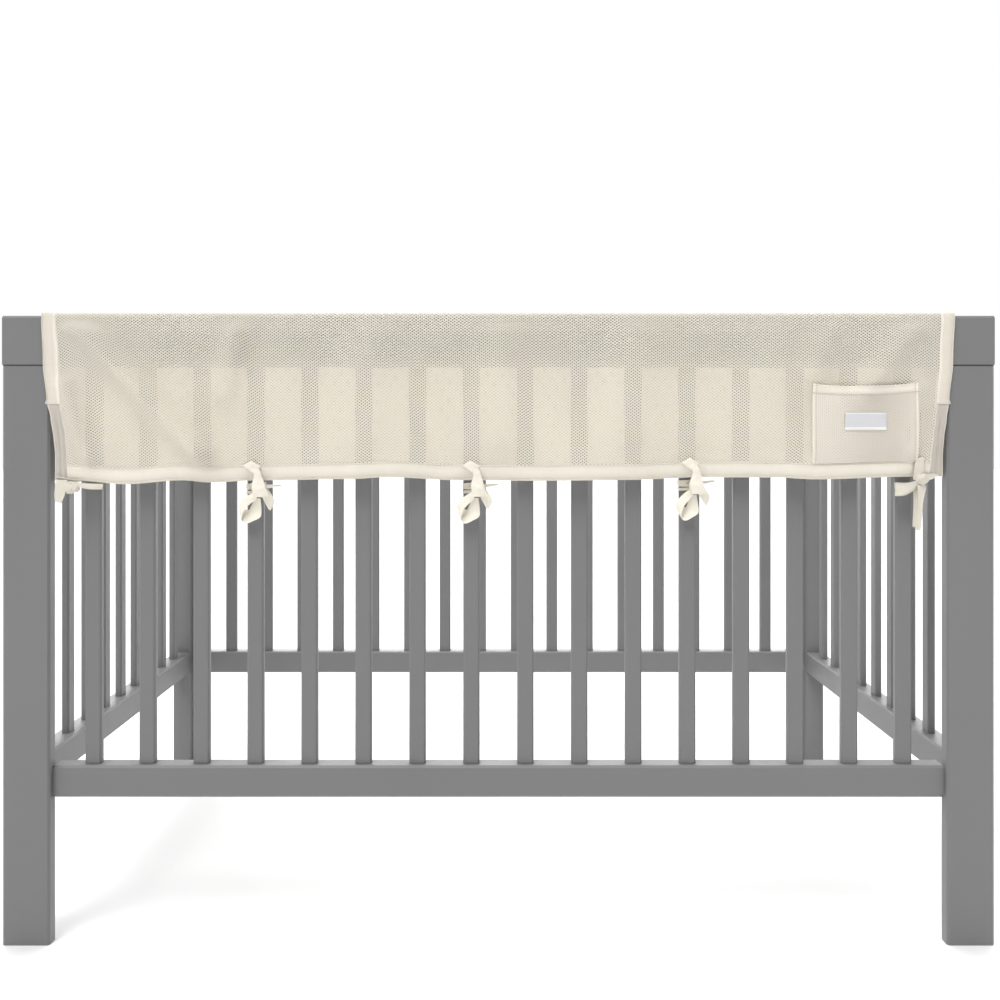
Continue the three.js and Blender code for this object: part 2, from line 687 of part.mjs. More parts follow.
buildFrontPanel();
buildBackPanel();
buildPost("front_post_left", -1, -1);
buildPost("front_post_right", 1, -1);
buildPost("back_post_left", -1, 1);
buildPost("back_post_right", 1, 1);
buildEndPanel("end_panel_left", -1);
buildEndPanel("end_panel_right", 1);
buildMeshPanel();
buildBottomBinding("bottom_binding_front", frontY, 1);
buildBottomBinding("bottom_binding_back", backY, -1);
for (const side of ["left", "right"]) {
  buildSideBinding(side);
  buildCornerStrip("corner_strip_front_" + side, side, frontY, false);
  buildCornerStrip("corner_strip_back_" + side, side, backY, true);
}
buildPocket();
buildLabel();
BOW_SLATS.forEach((bow) => buildBow(bow.name, bow.slat));
buildCornerTie("corner_tie_left", LEFT_CORNER);
buildCornerTie("corner_tie_right", RIGHT_CORNER);

// The origin is the middle of the footprint at floor level.
const bounds = new THREE.Box3().setFromObject(model);
const middle = bounds.getCenter(new THREE.Vector3());
model.position.set(-middle.x, -middle.y, -bounds.min.z);

export default model;
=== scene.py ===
import math
import bpy
import numpy as np
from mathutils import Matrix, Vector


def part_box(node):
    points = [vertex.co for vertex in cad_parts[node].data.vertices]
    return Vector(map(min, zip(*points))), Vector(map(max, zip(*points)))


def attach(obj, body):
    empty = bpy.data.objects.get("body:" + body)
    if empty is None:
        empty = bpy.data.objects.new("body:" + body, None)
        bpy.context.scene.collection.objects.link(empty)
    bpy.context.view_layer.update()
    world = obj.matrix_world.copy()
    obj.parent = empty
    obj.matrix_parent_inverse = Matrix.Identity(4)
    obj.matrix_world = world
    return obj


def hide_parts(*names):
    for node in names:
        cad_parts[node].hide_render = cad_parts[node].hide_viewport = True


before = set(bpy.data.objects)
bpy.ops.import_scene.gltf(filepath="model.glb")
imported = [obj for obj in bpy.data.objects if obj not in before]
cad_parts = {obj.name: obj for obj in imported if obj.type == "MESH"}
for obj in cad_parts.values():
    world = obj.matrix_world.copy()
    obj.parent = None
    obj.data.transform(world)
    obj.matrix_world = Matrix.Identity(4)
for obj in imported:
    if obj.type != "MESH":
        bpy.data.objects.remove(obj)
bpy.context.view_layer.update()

# Sizes and tables are in millimetres along the frame's own axes, and become metres where a mesh is made.
MM = 0.001
RAIL_LOW, RAIL_HIGH = (np.array(corner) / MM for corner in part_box("front_top_rail"))
SLAT_LOW, SLAT_HIGH = (np.array(corner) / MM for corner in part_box("front_slat_04"))
RAIL_FRONT, RAIL_BACK = RAIL_LOW[1], RAIL_HIGH[1]
RAIL_BOTTOM, RAIL_TOP = RAIL_LOW[2], RAIL_HIGH[2]
SLAT_FRONT, SLAT_BACK = SLAT_LOW[1], SLAT_HIGH[1]
SLAT_WIDTH = SLAT_HIGH[0] - SLAT_LOW[0]

MESH_THICK = 1.2
BINDING_WIDTH = 22
BINDING_THICK = 3
RAIL_CLEARANCE = 2
COVER_BEND = 6
TIE_PULL = 10
TIE_PULL_REACH = 95
HANG_LIMIT = 1.1
CORNER_PULL = 5
CORNER_TUCK = 5
SEAM_TUCK = 2.5
SIDE_BINDING_END = 764
STRIP_WIDTH = 24
STITCH_PITCH = 3.4
STITCH_LENGTH = 2.5
STITCH_RADIUS = 0.28
TAPE_THICK = 0.9

COVER_LIFT = RAIL_CLEARANCE + BINDING_THICK / 2
FRONT_LAYER = RAIL_FRONT - COVER_LIFT
BACK_LAYER = RAIL_BACK + COVER_LIFT
COVER_TOP = RAIL_TOP + COVER_LIFT

# Side edges of the cover, seen from the front: outer and inner edge of the strip at each side, by height.
SIDE_EDGES = dict(
    z=[640, 661, 690, 719, 745, 768, 823, 895],
    left_outer=[-629, -627.5, -626.5, -627, -630.2, -635.9, -641.2, -643.6],
    left_inner=[-605.5, -605.5, -606, -607.5, -611, -614.2, -618.5, -622.6],
    right_inner=[605.5, 605.8, 608, 611.2, 614.5, 617, 621, 623.2],
    right_outer=[629.5, 628.8, 628.2, 628.6, 631.4, 634.9, 640.5, 642.9],
)

# Height of the bottom edge along the front, from left to right
BOTTOM_EDGE = dict(
    x=[-650, -597, -527, -445, -410, -340, -206, -158, -58, 43, 188, 284, 391, 446, 582, 650],
    z=[656, 656, 651, 656.5, 653.5, 656, 658.5, 661, 656.5, 655.7, 657, 660.5, 660.5, 658, 661.5, 662],
)

# Soft drag folds of the front layer: x and z of a ridge's two ends, its half width and its height
FOLDS = [
    (-594, 880, -420, 694, 21, 8),
    (-607, 790, -577, 690, 13, 4.6),
    (-363, 884, -388, 780, 18, 4),
    (-178, 880, -182, 730, 42, 2.8),
    (-2, 880, 6, 720, 30, 3.2),
    (199, 880, 190, 730, 42, 2.8),
    (389, 880, 380, 730, 38, 2.4),
    (473, 886, 443, 806, 20, 3.4),
    (592, 886, 511, 777, 18, 4.4),
    (597, 782, 583, 692, 13, 3),
    (10.5, 890, 12, 684, 2.4, 0.3),
]

# Low swells just below the rail's top: from x, to x and height
SWELL_Z, SWELL_WIDE = 868, 24
SWELLS = [(-480, -395, 1.8), (-310, -268, 1.7), (-95, -42, 1.5), (34, 112, 1.5), (290, 335, 1.6)]
FOLDS += [(x0, SWELL_Z, x1, SWELL_Z, SWELL_WIDE, high) for x0, x1, high in SWELLS]

# The folds stand this much higher than in the solids, because the photo shows them clearly.
FOLD_GAIN = 2.2

# Slow unevenness of hanging cloth: the length of each wave along X and up Z, its start and its height.
WAVES = [
    dict(x=173, z=410, start=0.4, high=0.5),
    dict(x=97, z=-260, start=2.1, high=0.35),
    dict(x=61, z=150, start=4.0, high=0.2),
    dict(x=-37, z=90, start=1.2, high=0.1),
]

# The top and the back are less uneven than the front, and the back starts elsewhere in the waves.
TOP_UNEVENNESS = 0.35
BACK_UNEVENNESS = 0.6
BACK_SHIFT = 300

# The pocket and its label as seen from the front, with the widths of the pocket's hem and folded sides
POCKET = dict(left=440.4, right=588.2, top_left=792.3, top_right=794, sag=4, hem=14, side=6.4, bulge=2.6)
POCKET_WIDTH = POCKET["right"] - POCKET["left"]
HEM_STITCH = 12.6
SIDE_STITCH = 4.9
LABEL = dict(left=486, right=543.6, bottom=727.5, top=751.6)
LABEL_HEIGHT = LABEL["top"] - LABEL["bottom"]

# Each bow's place on the cover, the slat that it is tied to, and how much it is turned and scaled
BOWS = [
    dict(side="left", slat="front_slat_04", turn=-0.03, grow=1.0),
    dict(side="middle", slat="front_slat_08", turn=0.0, grow=1.0),
    dict(side="right", slat="front_slat_12", turn=0.05, grow=0.98),
]
CORNER_TIE_X = 599


# Slopes and hills
def smooth(share):
    share = np.clip(share, 0, 1)
    return share * share * (3 - 2 * share)


def mix(low, high, share):
    return low + (high - low) * share


def hill(at, middle, reach):
    """A smooth hill of height one about its middle."""
    return np.exp(-(((at - middle) / reach) ** 2))


def relief(at, shapes):
    """Ridges, and grooves where the height is below zero, across a cloth."""
    return sum(shape["high"] * hill(at, shape["at"], shape["wide"]) for shape in shapes)


def spot(x, z, shape):
    """One round hill or hollow on a cloth."""
    (at_x, at_z), (wide_x, wide_z) = shape["at"], shape["wide"]
    return shape["high"] * hill(x, at_x, wide_x) * hill(z, at_z, wide_z)


# The hanging surface of the cover
def read_table(table, key, value, at):
    keys, values = np.array(table[key], float), np.array(table[value], float)
    at = np.clip(at, keys[0], keys[-1])
    before = np.clip(np.searchsorted(keys, at, side="right") - 1, 0, len(keys) - 2)
    share = (at - keys[before]) / (keys[before + 1] - keys[before])
    return mix(values[before], values[before + 1], smooth(share))


def edge_at(z, edge):
    return read_table(SIDE_EDGES, "z", edge, z)


def bottom_at(x):
    return read_table(BOTTOM_EDGE, "x", "z", x)


def slat_middle(node):
    low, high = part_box(node)
    return (low[0] + high[0]) / 2 / MM


PULL_POINTS = [(slat_middle(bow["slat"]), TIE_PULL) for bow in BOWS]
PULL_POINTS += [(-CORNER_TIE_X, CORNER_PULL), (CORNER_TIE_X, CORNER_PULL)]


def fold_at(fold, x, z):
    x0, z0, x1, z1, wide, high = fold
    along_x, along_z = x1 - x0, z1 - z0
    from_x, from_z = x - x0, z - z0
    share = np.clip((from_x * along_x + from_z * along_z) / (along_x**2 + along_z**2), 0, 1)
    off = np.hypot(from_x - share * along_x, from_z - share * along_z)
    return high * hill(off, 0, wide)


def unevenness(x, z):
    turn = 2 * math.pi
    return sum(w["high"] * np.sin(turn * (x / w["x"] + z / w["z"]) + w["start"]) for w in WAVES)


def drawn_in(x, z):
    hang = np.clip((RAIL_BOTTOM - z) / (RAIL_BOTTOM - BOTTOM_EDGE["z"][0]), 0, HANG_LIMIT)
    pull = np.max([most * hill(x, at, TIE_PULL_REACH) for at, most in PULL_POINTS], axis=0)
    return hang**3 * pull


def below_bend(z):
    """Nothing on the bend over the rail, and one from four bends below it."""
    return smooth((COVER_TOP - z - COVER_BEND) / (4 * COVER_BEND))


def front_y(x, z):
    folds = FOLD_GAIN * sum(fold_at(fold, x, z) for fold in FOLDS) + unevenness(x, z)
    return FRONT_LAYER - below_bend(z) * folds + drawn_in(x, z)


def back_y(x, z):
    waves = below_bend(z) * unevenness(x + BACK_SHIFT, z) * BACK_UNEVENNESS
    return BACK_LAYER + waves - drawn_in(x, z)


# Grids: an array of points by row and column, here up the front, over the rail and down the back.
FRONT_ROWS = 46
BEND_ROWS = 6
TOP_ROWS = 9
BACK_ROWS = 36
NEAR = 0.01


def over_rail():
    turns = np.linspace(0, math.pi / 2, BEND_ROWS + 1)[1:]
    low = COVER_TOP - COVER_BEND
    front = [(FRONT_LAYER + COVER_BEND * (1 - math.cos(t)), low + COVER_BEND * math.sin(t)) for t in turns]
    back = [(FRONT_LAYER + BACK_LAYER - y, z) for y, z in reversed(front)]
    flat = np.linspace(front[-1][0], back[0][0], TOP_ROWS + 2)[1:-1]
    return front + [(y, COVER_TOP) for y in flat] + back


def cover_grid(x_at, lowest, columns):
    high = COVER_TOP - COVER_BEND
    shares = np.linspace(0, 1, columns + 1)

    def hanging(part, surface):
        x = x_at(mix(lowest(x_at(high, shares)), high, part), shares)
        z = mix(lowest(x), high, part)
        return np.stack([x, surface(x, z), z], axis=1)

    rows = [hanging(part, front_y) for part in np.linspace(0, 1, FRONT_ROWS + 1)]
    for y, z in over_rail():
        x = x_at(z, shares)
        rise = TOP_UNEVENNESS * unevenness(x, z) * (z >= COVER_TOP - NEAR)
        rows.append(np.stack([x, np.full_like(x, y), z + rise], axis=1))
    rows += [hanging(part, back_y) for part in np.linspace(1, 0, BACK_ROWS + 1)]
    return np.array(rows)


def grid_normals(points):
    padded = np.pad(points, ((1, 1), (1, 1), (0, 0)), mode="edge")
    across = padded[1:-1, 2:] - padded[1:-1, :-2]
    up = padded[2:, 1:-1] - padded[:-2, 1:-1]
    normals = np.cross(across, up)
    return normals / np.linalg.norm(normals, axis=2, keepdims=True)


def flat_places(points, start_row=0):
    """Each point's place on the flat cloth: across from the first column, along from one row."""
    steps = np.linalg.norm(np.diff(points, axis=0), axis=2)
    along = np.vstack([np.zeros(points.shape[1]), np.cumsum(steps, axis=0)])
    along -= along[start_row]
    widths = np.linalg.norm(np.diff(points, axis=1), axis=2).mean(axis=0)
    across = np.concatenate([[0], np.cumsum(widths)])
    return np.stack([np.broadcast_to(across, along.shape), along], axis=2)


# Meshes
SHARP_ANGLE = 50


def add_object(name, data):
    made = bpy.data.objects.new(name, data)
    bpy.context.scene.collection.objects.link(made)
    return made


def new_object(name, points, faces, places, material):
    mesh = bpy.data.meshes.new(name)
    mesh.from_pydata((np.asarray(points) * MM).tolist(), [], faces)
    layer = mesh.uv_layers.new(name="cloth")
    corners = np.empty(len(mesh.loops), int)
    mesh.loops.foreach_get("vertex_index", corners)
    layer.uv.foreach_set("vector", np.asarray(places)[corners].astype(np.float32).ravel())
    mesh.polygons.foreach_set("use_smooth", np.ones(len(mesh.polygons), bool))
    mesh.set_sharp_from_angle(angle=math.radians(SHARP_ANGLE))
    mesh.materials.append(material)
    mesh.validate()
    return add_object(name, mesh)


def sheet_solid(points, half, places):
    """Points, faces and flat places of a closed sheet round a grid, half as thick to each side."""
    rows, columns = points.shape[:2]
    offset = grid_normals(points) * np.broadcast_to(half, (rows, columns))[..., None]
    both = np.concatenate([(points + offset).reshape(-1, 3), (points - offset).reshape(-1, 3)])
    index = np.arange(rows * columns).reshape(rows, columns)
    count = rows * columns
    a, b, c, d = index[:-1, :-1], index[:-1, 1:], index[1:, 1:], index[1:, :-1]
    front = np.stack([a, b, c, d], axis=2).reshape(-1, 4)
    back = np.stack([d, c, b, a], axis=2).reshape(-1, 4) + count
    rim = np.concatenate([index[0], index[1:, -1], index[-1, -2::-1], index[-2:0:-1, 0]])
    after = np.roll(rim, -1)
    wall = np.stack([after, rim, rim + count, after + count], axis=1)
    flat = places.reshape(-1, 2)
    return both, np.concatenate([front, back, wall]).tolist(), np.concatenate([flat, flat])


def ring_faces(rings, sides):
    """The four-sided faces between each ring of points and the next one."""
    return [
        [low + s, low + (s + 1) % sides, low + sides + (s + 1) % sides, low + sides + s]
        for low in range(0, (rings - 1) * sides, sides)
        for s in range(sides)
    ]


def joined(parts):
    points, faces, places, start = [], [], [], 0
    for part_points, part_faces, part_places in parts:
        points.append(part_points)
        faces += [[corner + start for corner in face] for face in part_faces]
        places.append(part_places)
        start += len(part_points)
    return np.concatenate(points), faces, np.concatenate(places)


def cloth_piece(name, parts, material, nodes=()):
    made = new_object(name, *joined(parts), material)
    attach(made, "root")
    if nodes:
        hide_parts(*nodes)
    return made


# Nodes of a material
def put(tree, socket, value):
    if isinstance(value, bpy.types.NodeSocket):
        tree.links.new(value, socket)
    else:
        socket.default_value = value


def calc(tree, operation, first, second=0.0):
    made = tree.nodes.new("ShaderNodeMath")
    made.operation = operation
    put(tree, made.inputs[0], first)
    put(tree, made.inputs[1], second)
    return made.outputs[0]


def vector(tree, operation, first, second=(0, 0, 0)):
    made = tree.nodes.new("ShaderNodeVectorMath")
    made.operation = operation
    put(tree, made.inputs[0], first)
    if operation in ("FRACTION", "LENGTH"):
        return made.outputs["Value" if operation == "LENGTH" else "Vector"]
    put(tree, made.inputs[1], second)
    return made.outputs["Vector"]


def split(tree, place):
    made = tree.nodes.new("ShaderNodeSeparateXYZ")
    tree.links.new(place, made.inputs[0])
    return made.outputs


def ramp(tree, value, low, high, to_low=0.0, to_high=1.0):
    made = tree.nodes.new("ShaderNodeMapRange")
    made.interpolation_type = "SMOOTHSTEP"
    for socket, number in zip(made.inputs, (value, low, high, to_low, to_high)):
        put(tree, socket, number)
    return made.outputs["Result"]


def noise(tree, place, scale, detail=2.0):
    made = tree.nodes.new("ShaderNodeTexNoise")
    put(tree, made.inputs["Vector"], place)
    made.inputs["Scale"].default_value = scale
    made.inputs["Detail"].default_value = detail
    return made.outputs["Fac"]


def blend_colours(tree, share, first, second):
    made = tree.nodes.new("ShaderNodeMix")
    made.data_type = "RGBA"
    put(tree, made.inputs["Factor"], share)
    put(tree, made.inputs["A"], first)
    put(tree, made.inputs["B"], second)
    return made.outputs["Result"]


def bumped(tree, shader, height, distance, strength):
    bump = tree.nodes.new("ShaderNodeBump")
    bump.inputs["Strength"].default_value = strength
    bump.inputs["Distance"].default_value = distance
    tree.links.new(height, bump.inputs["Height"])
    tree.links.new(bump.outputs["Normal"], shader.inputs["Normal"])


def new_material(name, roughness, sheen=0.0):
    material = bpy.data.materials.new(name)
    material.use_nodes = True
    shader = material.node_tree.nodes["Principled BSDF"]
    shader.inputs["Roughness"].default_value = roughness
    shader.inputs["Specular IOR Level"].default_value = 0.3
    shader.inputs["Sheen Weight"].default_value = sheen
    return material, material.node_tree, shader


def flat_cloth(tree):
    made = tree.nodes.new("ShaderNodeUVMap")
    made.uv_map = "cloth"
    return made.outputs["UV"]


def linear(red, green, blue):
    """A colour given as 0 to 255, as the screen shows it, in linear light."""
    return tuple(((c / 255 + 0.055) / 1.055) ** 2.4 for c in (red, green, blue)) + (1.0,)


# Each material's light and dark tone
CREAM = linear(250, 246, 235), linear(222, 217, 203)
POCKET_CREAM = linear(236, 229, 217), linear(215, 208, 195)
# The binding's dark tone is deepened so that its slow patches of tone also stand in for shade of folds and
# slats: painted shade at random places.
BINDING_CREAM = linear(240, 234, 221), linear(211, 205, 191)
SIDE_CREAM = linear(230, 224, 211), linear(213, 206, 193)
# The strip's cream is painted darker and greyer than the bindings: painted shade for the strip tucked back
# beside the post.
STRIP_SHADED_CREAM = linear(201, 194, 185), linear(180, 174, 165)
TAPE_CREAM = linear(249, 244, 232), linear(235, 229, 214)
# The corner ties' cream is painted darker than the bows' tape: painted shade at the corners.
CORNER_SHADED_CREAM = linear(233, 228, 214), linear(207, 201, 187)
THREAD_CREAM = linear(243, 238, 226), linear(230, 225, 211)
SATIN_GREY = linear(214, 214, 216), linear(192, 192, 196)
PAINT_GREY = linear(122, 122, 123), linear(115, 115, 116)
FLOOR_GREY = linear(232, 232, 232), linear(227, 227, 227)

# Painted highlight and painted shade for hems, edges, seams and the pocket, the label's brighter ends, and
# the light that comes through the mesh
PAINTED_HIGHLIGHT = linear(246, 240, 228)
SEAM_SHADE = linear(196, 188, 175)
POCKET_SHADE = linear(212, 203, 192)
EDGE_SHADE = linear(206, 199, 187)
STRIP_EDGE_HIGHLIGHT = linear(226, 219, 206)
SATIN_EDGE = linear(228, 228, 227)
GLOW = linear(246, 240, 231)

# Knitted mesh: the pitch of each of its two grids of holes, the radii of a hole and how far it strays
MESH_PITCH = (5.66, 4.1)
MESH_HOLE = (1.0, 0.66)
INNER_HOLE = (0.5, 0.33)
POCKET_HOLE = (0.55, 0.36)
MESH_STRAY = 0.5
INNER_TURN = 0.21

# Where a hole's edge and the slope of its yarn start and end, in hole radii
HOLE_EDGE = (0.8, 1.2)
YARN_SLOPE = (0.95, 2.0)

# Share of the light that each mesh lets through
THROUGH = 0.37
INNER_THROUGH = 0.6
POCKET_THROUGH = 0.15

# Spots of noise for each millimetre of cloth, or each metre of wood and floor
STRAY_SCALE = 0.05
MESH_SHADE_SCALE = 0.012
TAPE_SHADE_SCALE = 0.03
CREASE_SCALE = (0.35, 0.06, 0)
SATIN_SCALE = (0.5, 7.0, 0)
PATCH_SCALE = 3.0
SPRAY_SCALE = 900.0
GLOSS_SCALE = 12.0
FLOOR_SCALE = 0.8

# How strongly noise and weave change the tone and the height
MESH_SHADE = 0.25
TAPE_SHADE = 0.6
WEAVE_SHADE = 0.08
WEAVE_RELIEF = 0.12
SPRAY_SHARE = 0.2
GLOSS = (0.44, 0.56)

# The pitch of woven threads, the even middle of a band, and the brighter ends of the label from its own
# edges
THREAD_PITCH = (0.9, 0.8)
BAND_CORE = 0.2
LABEL_FOOT = (4.4, 3.9)
LABEL_HEAD = (1.6, 1.2)


# Materials
def hole_distance(tree, cells, shift, hole):
    """Distance from the middle of the nearest hole of one of the two grids of holes, in hole radii."""
    inside = vector(tree, "FRACTION", vector(tree, "ADD", cells, (shift, shift, 0)))
    centred = vector(tree, "SUBTRACT", inside, (0.5, 0.5, 0))
    radii = (MESH_PITCH[0] / hole[0], MESH_PITCH[1] / hole[1], 0)
    return vector(tree, "LENGTH", vector(tree, "MULTIPLY", centred, radii))


def with_bands(tree, colour, place, bands):
    """Soft bands of painted highlight and painted shade across the cloth: axis, middle, half width, tone
    and strength.
    """
    axes = split(tree, place)
    for axis, middle, half, tone, strength in bands:
        off = calc(tree, "ABSOLUTE", calc(tree, "SUBTRACT", axes[axis], middle))
        outside = ramp(tree, off, BAND_CORE, half, 1 - strength, 1.0)
        colour = blend_colours(tree, outside, tone, colour)
    return colour


def mesh_cloth(name, tones, hole, through, turn=0.0, bands=()):
    """Knitted mesh with two staggered grids of holes cut through it, and yarn that lets light through."""
    material, tree, shader = new_material(name, roughness=0.9, sheen=0.15)
    light, dark = tones
    turned = tree.nodes.new("ShaderNodeVectorRotate")
    turned.rotation_type = "Z_AXIS"
    turned.inputs["Angle"].default_value = turn
    tree.links.new(flat_cloth(tree), turned.inputs["Vector"])
    place = turned.outputs["Vector"]
    stray = vector(tree, "MULTIPLY", noise(tree, place, STRAY_SCALE), (MESH_STRAY, MESH_STRAY, 0))
    each = (1 / MESH_PITCH[0], 1 / MESH_PITCH[1], 0)
    cells = vector(tree, "MULTIPLY", vector(tree, "ADD", place, stray), each)
    first, second = (hole_distance(tree, cells, shift, hole) for shift in (0.0, 0.5))
    near = calc(tree, "MINIMUM", first, second)
    solid = ramp(tree, near, *HOLE_EDGE)
    tree.links.new(solid, shader.inputs["Alpha"])
    yarn = ramp(tree, near, *YARN_SLOPE)
    slow = calc(tree, "MULTIPLY", noise(tree, place, MESH_SHADE_SCALE), MESH_SHADE)
    # The yarn is painted darker where it slopes down into each hole: painted shade in the pits of the
    # knit, over slow random tone.
    colour = blend_colours(tree, calc(tree, "SUBTRACT", yarn, slow), dark, light)
    colour = with_bands(tree, colour, place, bands)
    tree.links.new(colour, shader.inputs["Base Color"])
    bumped(tree, shader, yarn, distance=0.0006, strength=0.8)
    behind = tree.nodes.new("ShaderNodeBsdfTranslucent")
    behind.inputs["Color"].default_value = GLOW
    both = tree.nodes.new("ShaderNodeMixShader")
    tree.links.new(calc(tree, "MULTIPLY", solid, through), both.inputs["Fac"])
    tree.links.new(shader.outputs["BSDF"], both.inputs[1])
    tree.links.new(behind.outputs["BSDF"], both.inputs[2])
    tree.links.new(both.outputs["Shader"], tree.nodes["Material Output"].inputs["Surface"])
    return material


def woven_cloth(name, tones, crease, sheen=0.2, bands=()):
    """Fine plain weave in folded tape: crossing threads, long soft creases and slow changes of tone."""
    material, tree, shader = new_material(name, roughness=0.85, sheen=sheen)
    light, dark = tones
    place = flat_cloth(tree)
    turns = (2 * math.pi / THREAD_PITCH[0], 2 * math.pi / THREAD_PITCH[1], 0)
    threads = split(tree, vector(tree, "MULTIPLY", place, turns))
    across, along = (calc(tree, "SINE", threads[axis]) for axis in ("X", "Y"))
    weave = calc(tree, "MULTIPLY", across, along)
    creases = noise(tree, vector(tree, "MULTIPLY", place, CREASE_SCALE), 1.0, 3.0)
    slow = calc(tree, "MULTIPLY", noise(tree, place, TAPE_SHADE_SCALE), TAPE_SHADE)
    tone = calc(tree, "ADD", slow, calc(tree, "MULTIPLY", weave, WEAVE_SHADE))
    colour = with_bands(tree, blend_colours(tree, tone, dark, light), place, bands)
    tree.links.new(colour, shader.inputs["Base Color"])
    fine, coarse = calc(tree, "MULTIPLY", weave, WEAVE_RELIEF), calc(tree, "MULTIPLY", creases, crease)
    bumped(tree, shader, calc(tree, "ADD", fine, coarse), distance=0.001, strength=0.6)
    return material


def satin_cloth():
    """Smooth label satin: long floats across, with brighter bands at its foot and its head."""
    material, tree, shader = new_material("satin_label", roughness=0.38, sheen=0.3)
    shader.inputs["Specular IOR Level"].default_value = 0.6
    light, dark = SATIN_GREY
    place = flat_cloth(tree)
    floats = noise(tree, vector(tree, "MULTIPLY", place, SATIN_SCALE), 1.0, 2.0)
    up = split(tree, place)["Y"]
    foot = ramp(tree, up, *LABEL_FOOT)
    head = ramp(tree, up, *(LABEL_HEIGHT - below for below in LABEL_HEAD))
    sheen = blend_colours(tree, floats, dark, light)
    edged = blend_colours(tree, calc(tree, "MAXIMUM", foot, head), sheen, SATIN_EDGE)
    tree.links.new(edged, shader.inputs["Base Color"])
    bumped(tree, shader, floats, distance=0.0003, strength=0.5)
    return material


def painted_wood():
    """Even grey satin paint with the faint relief of sprayed paint over wood grain."""
    material, tree, shader = new_material("painted_wood", roughness=0.5)
    light, dark = PAINT_GREY
    place = tree.nodes.new("ShaderNodeTexCoord").outputs["Object"]
    patches = noise(tree, place, PATCH_SCALE, 3.0)
    spray = noise(tree, place, SPRAY_SCALE, 1.0)
    coarse = calc(tree, "MULTIPLY", patches, 1 - SPRAY_SHARE)
    tone = calc(tree, "ADD", coarse, calc(tree, "MULTIPLY", spray, SPRAY_SHARE))
    tree.links.new(blend_colours(tree, tone, dark, light), shader.inputs["Base Color"])
    gloss = ramp(tree, noise(tree, place, GLOSS_SCALE), 0.2, 0.8, *GLOSS)
    tree.links.new(gloss, shader.inputs["Roughness"])
    bumped(tree, shader, spray, distance=0.0002, strength=0.35)
    return material


# Bands of painted highlight and painted shade: axis of the flat cloth, middle, half width, tone and
# strength
# The pocket: painted shade over its right part, painted highlights along its hems, and painted shade in
# its sewn lines
POCKET_BANDS = [
    ("X", 100, 84, POCKET_SHADE, 0.75),
    ("Y", 6, 8, PAINTED_HIGHLIGHT, 0.9),
    ("X", 2.2, 4, PAINTED_HIGHLIGHT, 0.8),
    ("X", POCKET_WIDTH - 2.2, 4, PAINTED_HIGHLIGHT, 0.6),
    ("Y", HEM_STITCH, 1.5, SEAM_SHADE, 0.8),
    ("X", SIDE_STITCH, 1.2, SEAM_SHADE, 0.7),
    ("X", POCKET_WIDTH - SIDE_STITCH, 1.2, SEAM_SHADE, 0.7),
]
# The binding: a painted highlight along its middle, painted shade at its lower edge and in its sewn line
BINDING_BANDS = [
    ("Y", 13, 8, PAINTED_HIGHLIGHT, 0.3),
    ("Y", 1, 4.5, EDGE_SHADE, 0.45),
    ("Y", 20, 1.4, SEAM_SHADE, 0.4),
]
# The side binding: painted shade over its outer part and a painted highlight at its inner edge
SIDE_BANDS = [("X", 0, 12, EDGE_SHADE, 0.8), ("X", 19, 4, PAINTED_HIGHLIGHT, 0.6)]
# The strip: painted highlights along both hemmed edges
STRIP_BANDS = [("X", 1.2, 2.2, STRIP_EDGE_HIGHLIGHT, 0.9), ("X", STRIP_WIDTH - 1.2, 2.2, STRIP_EDGE_HIGHLIGHT, 0.8)]

MESH = mesh_cloth("cream_mesh", CREAM, MESH_HOLE, THROUGH)
INNER_MESH = mesh_cloth("cream_mesh_inside", CREAM, INNER_HOLE, INNER_THROUGH, turn=INNER_TURN)
POCKET_MESH = mesh_cloth("pocket_mesh", POCKET_CREAM, POCKET_HOLE, POCKET_THROUGH, bands=POCKET_BANDS)
BINDING = woven_cloth("cream_binding", BINDING_CREAM, crease=0.6, bands=BINDING_BANDS)
SIDE_BINDING = woven_cloth("cream_side_binding", SIDE_CREAM, crease=0.6, bands=SIDE_BANDS)
STRIP = woven_cloth("cream_strip", STRIP_SHADED_CREAM, crease=0.7, bands=STRIP_BANDS)
TAPE = woven_cloth("cream_tape", TAPE_CREAM, crease=0.9)
CORNER_TAPE = woven_cloth("cream_corner_tape", CORNER_SHADED_CREAM, crease=0.9)
THREAD = woven_cloth("cream_thread", THREAD_CREAM, crease=0.1, sheen=0.4)
SATIN = satin_cloth()
PAINT = painted_wood()


# Stitches: the rings of one stitch, each a share of its length along it and a share of its radius
STITCH_RINGS = [(-0.5, 0.35), (-0.3, 0.9), (0.3, 0.9), (0.5, 0.35)]
STITCH_SIDES = 6
STITCH_RISE = 0.3
STITCH_LIFT = 0.05


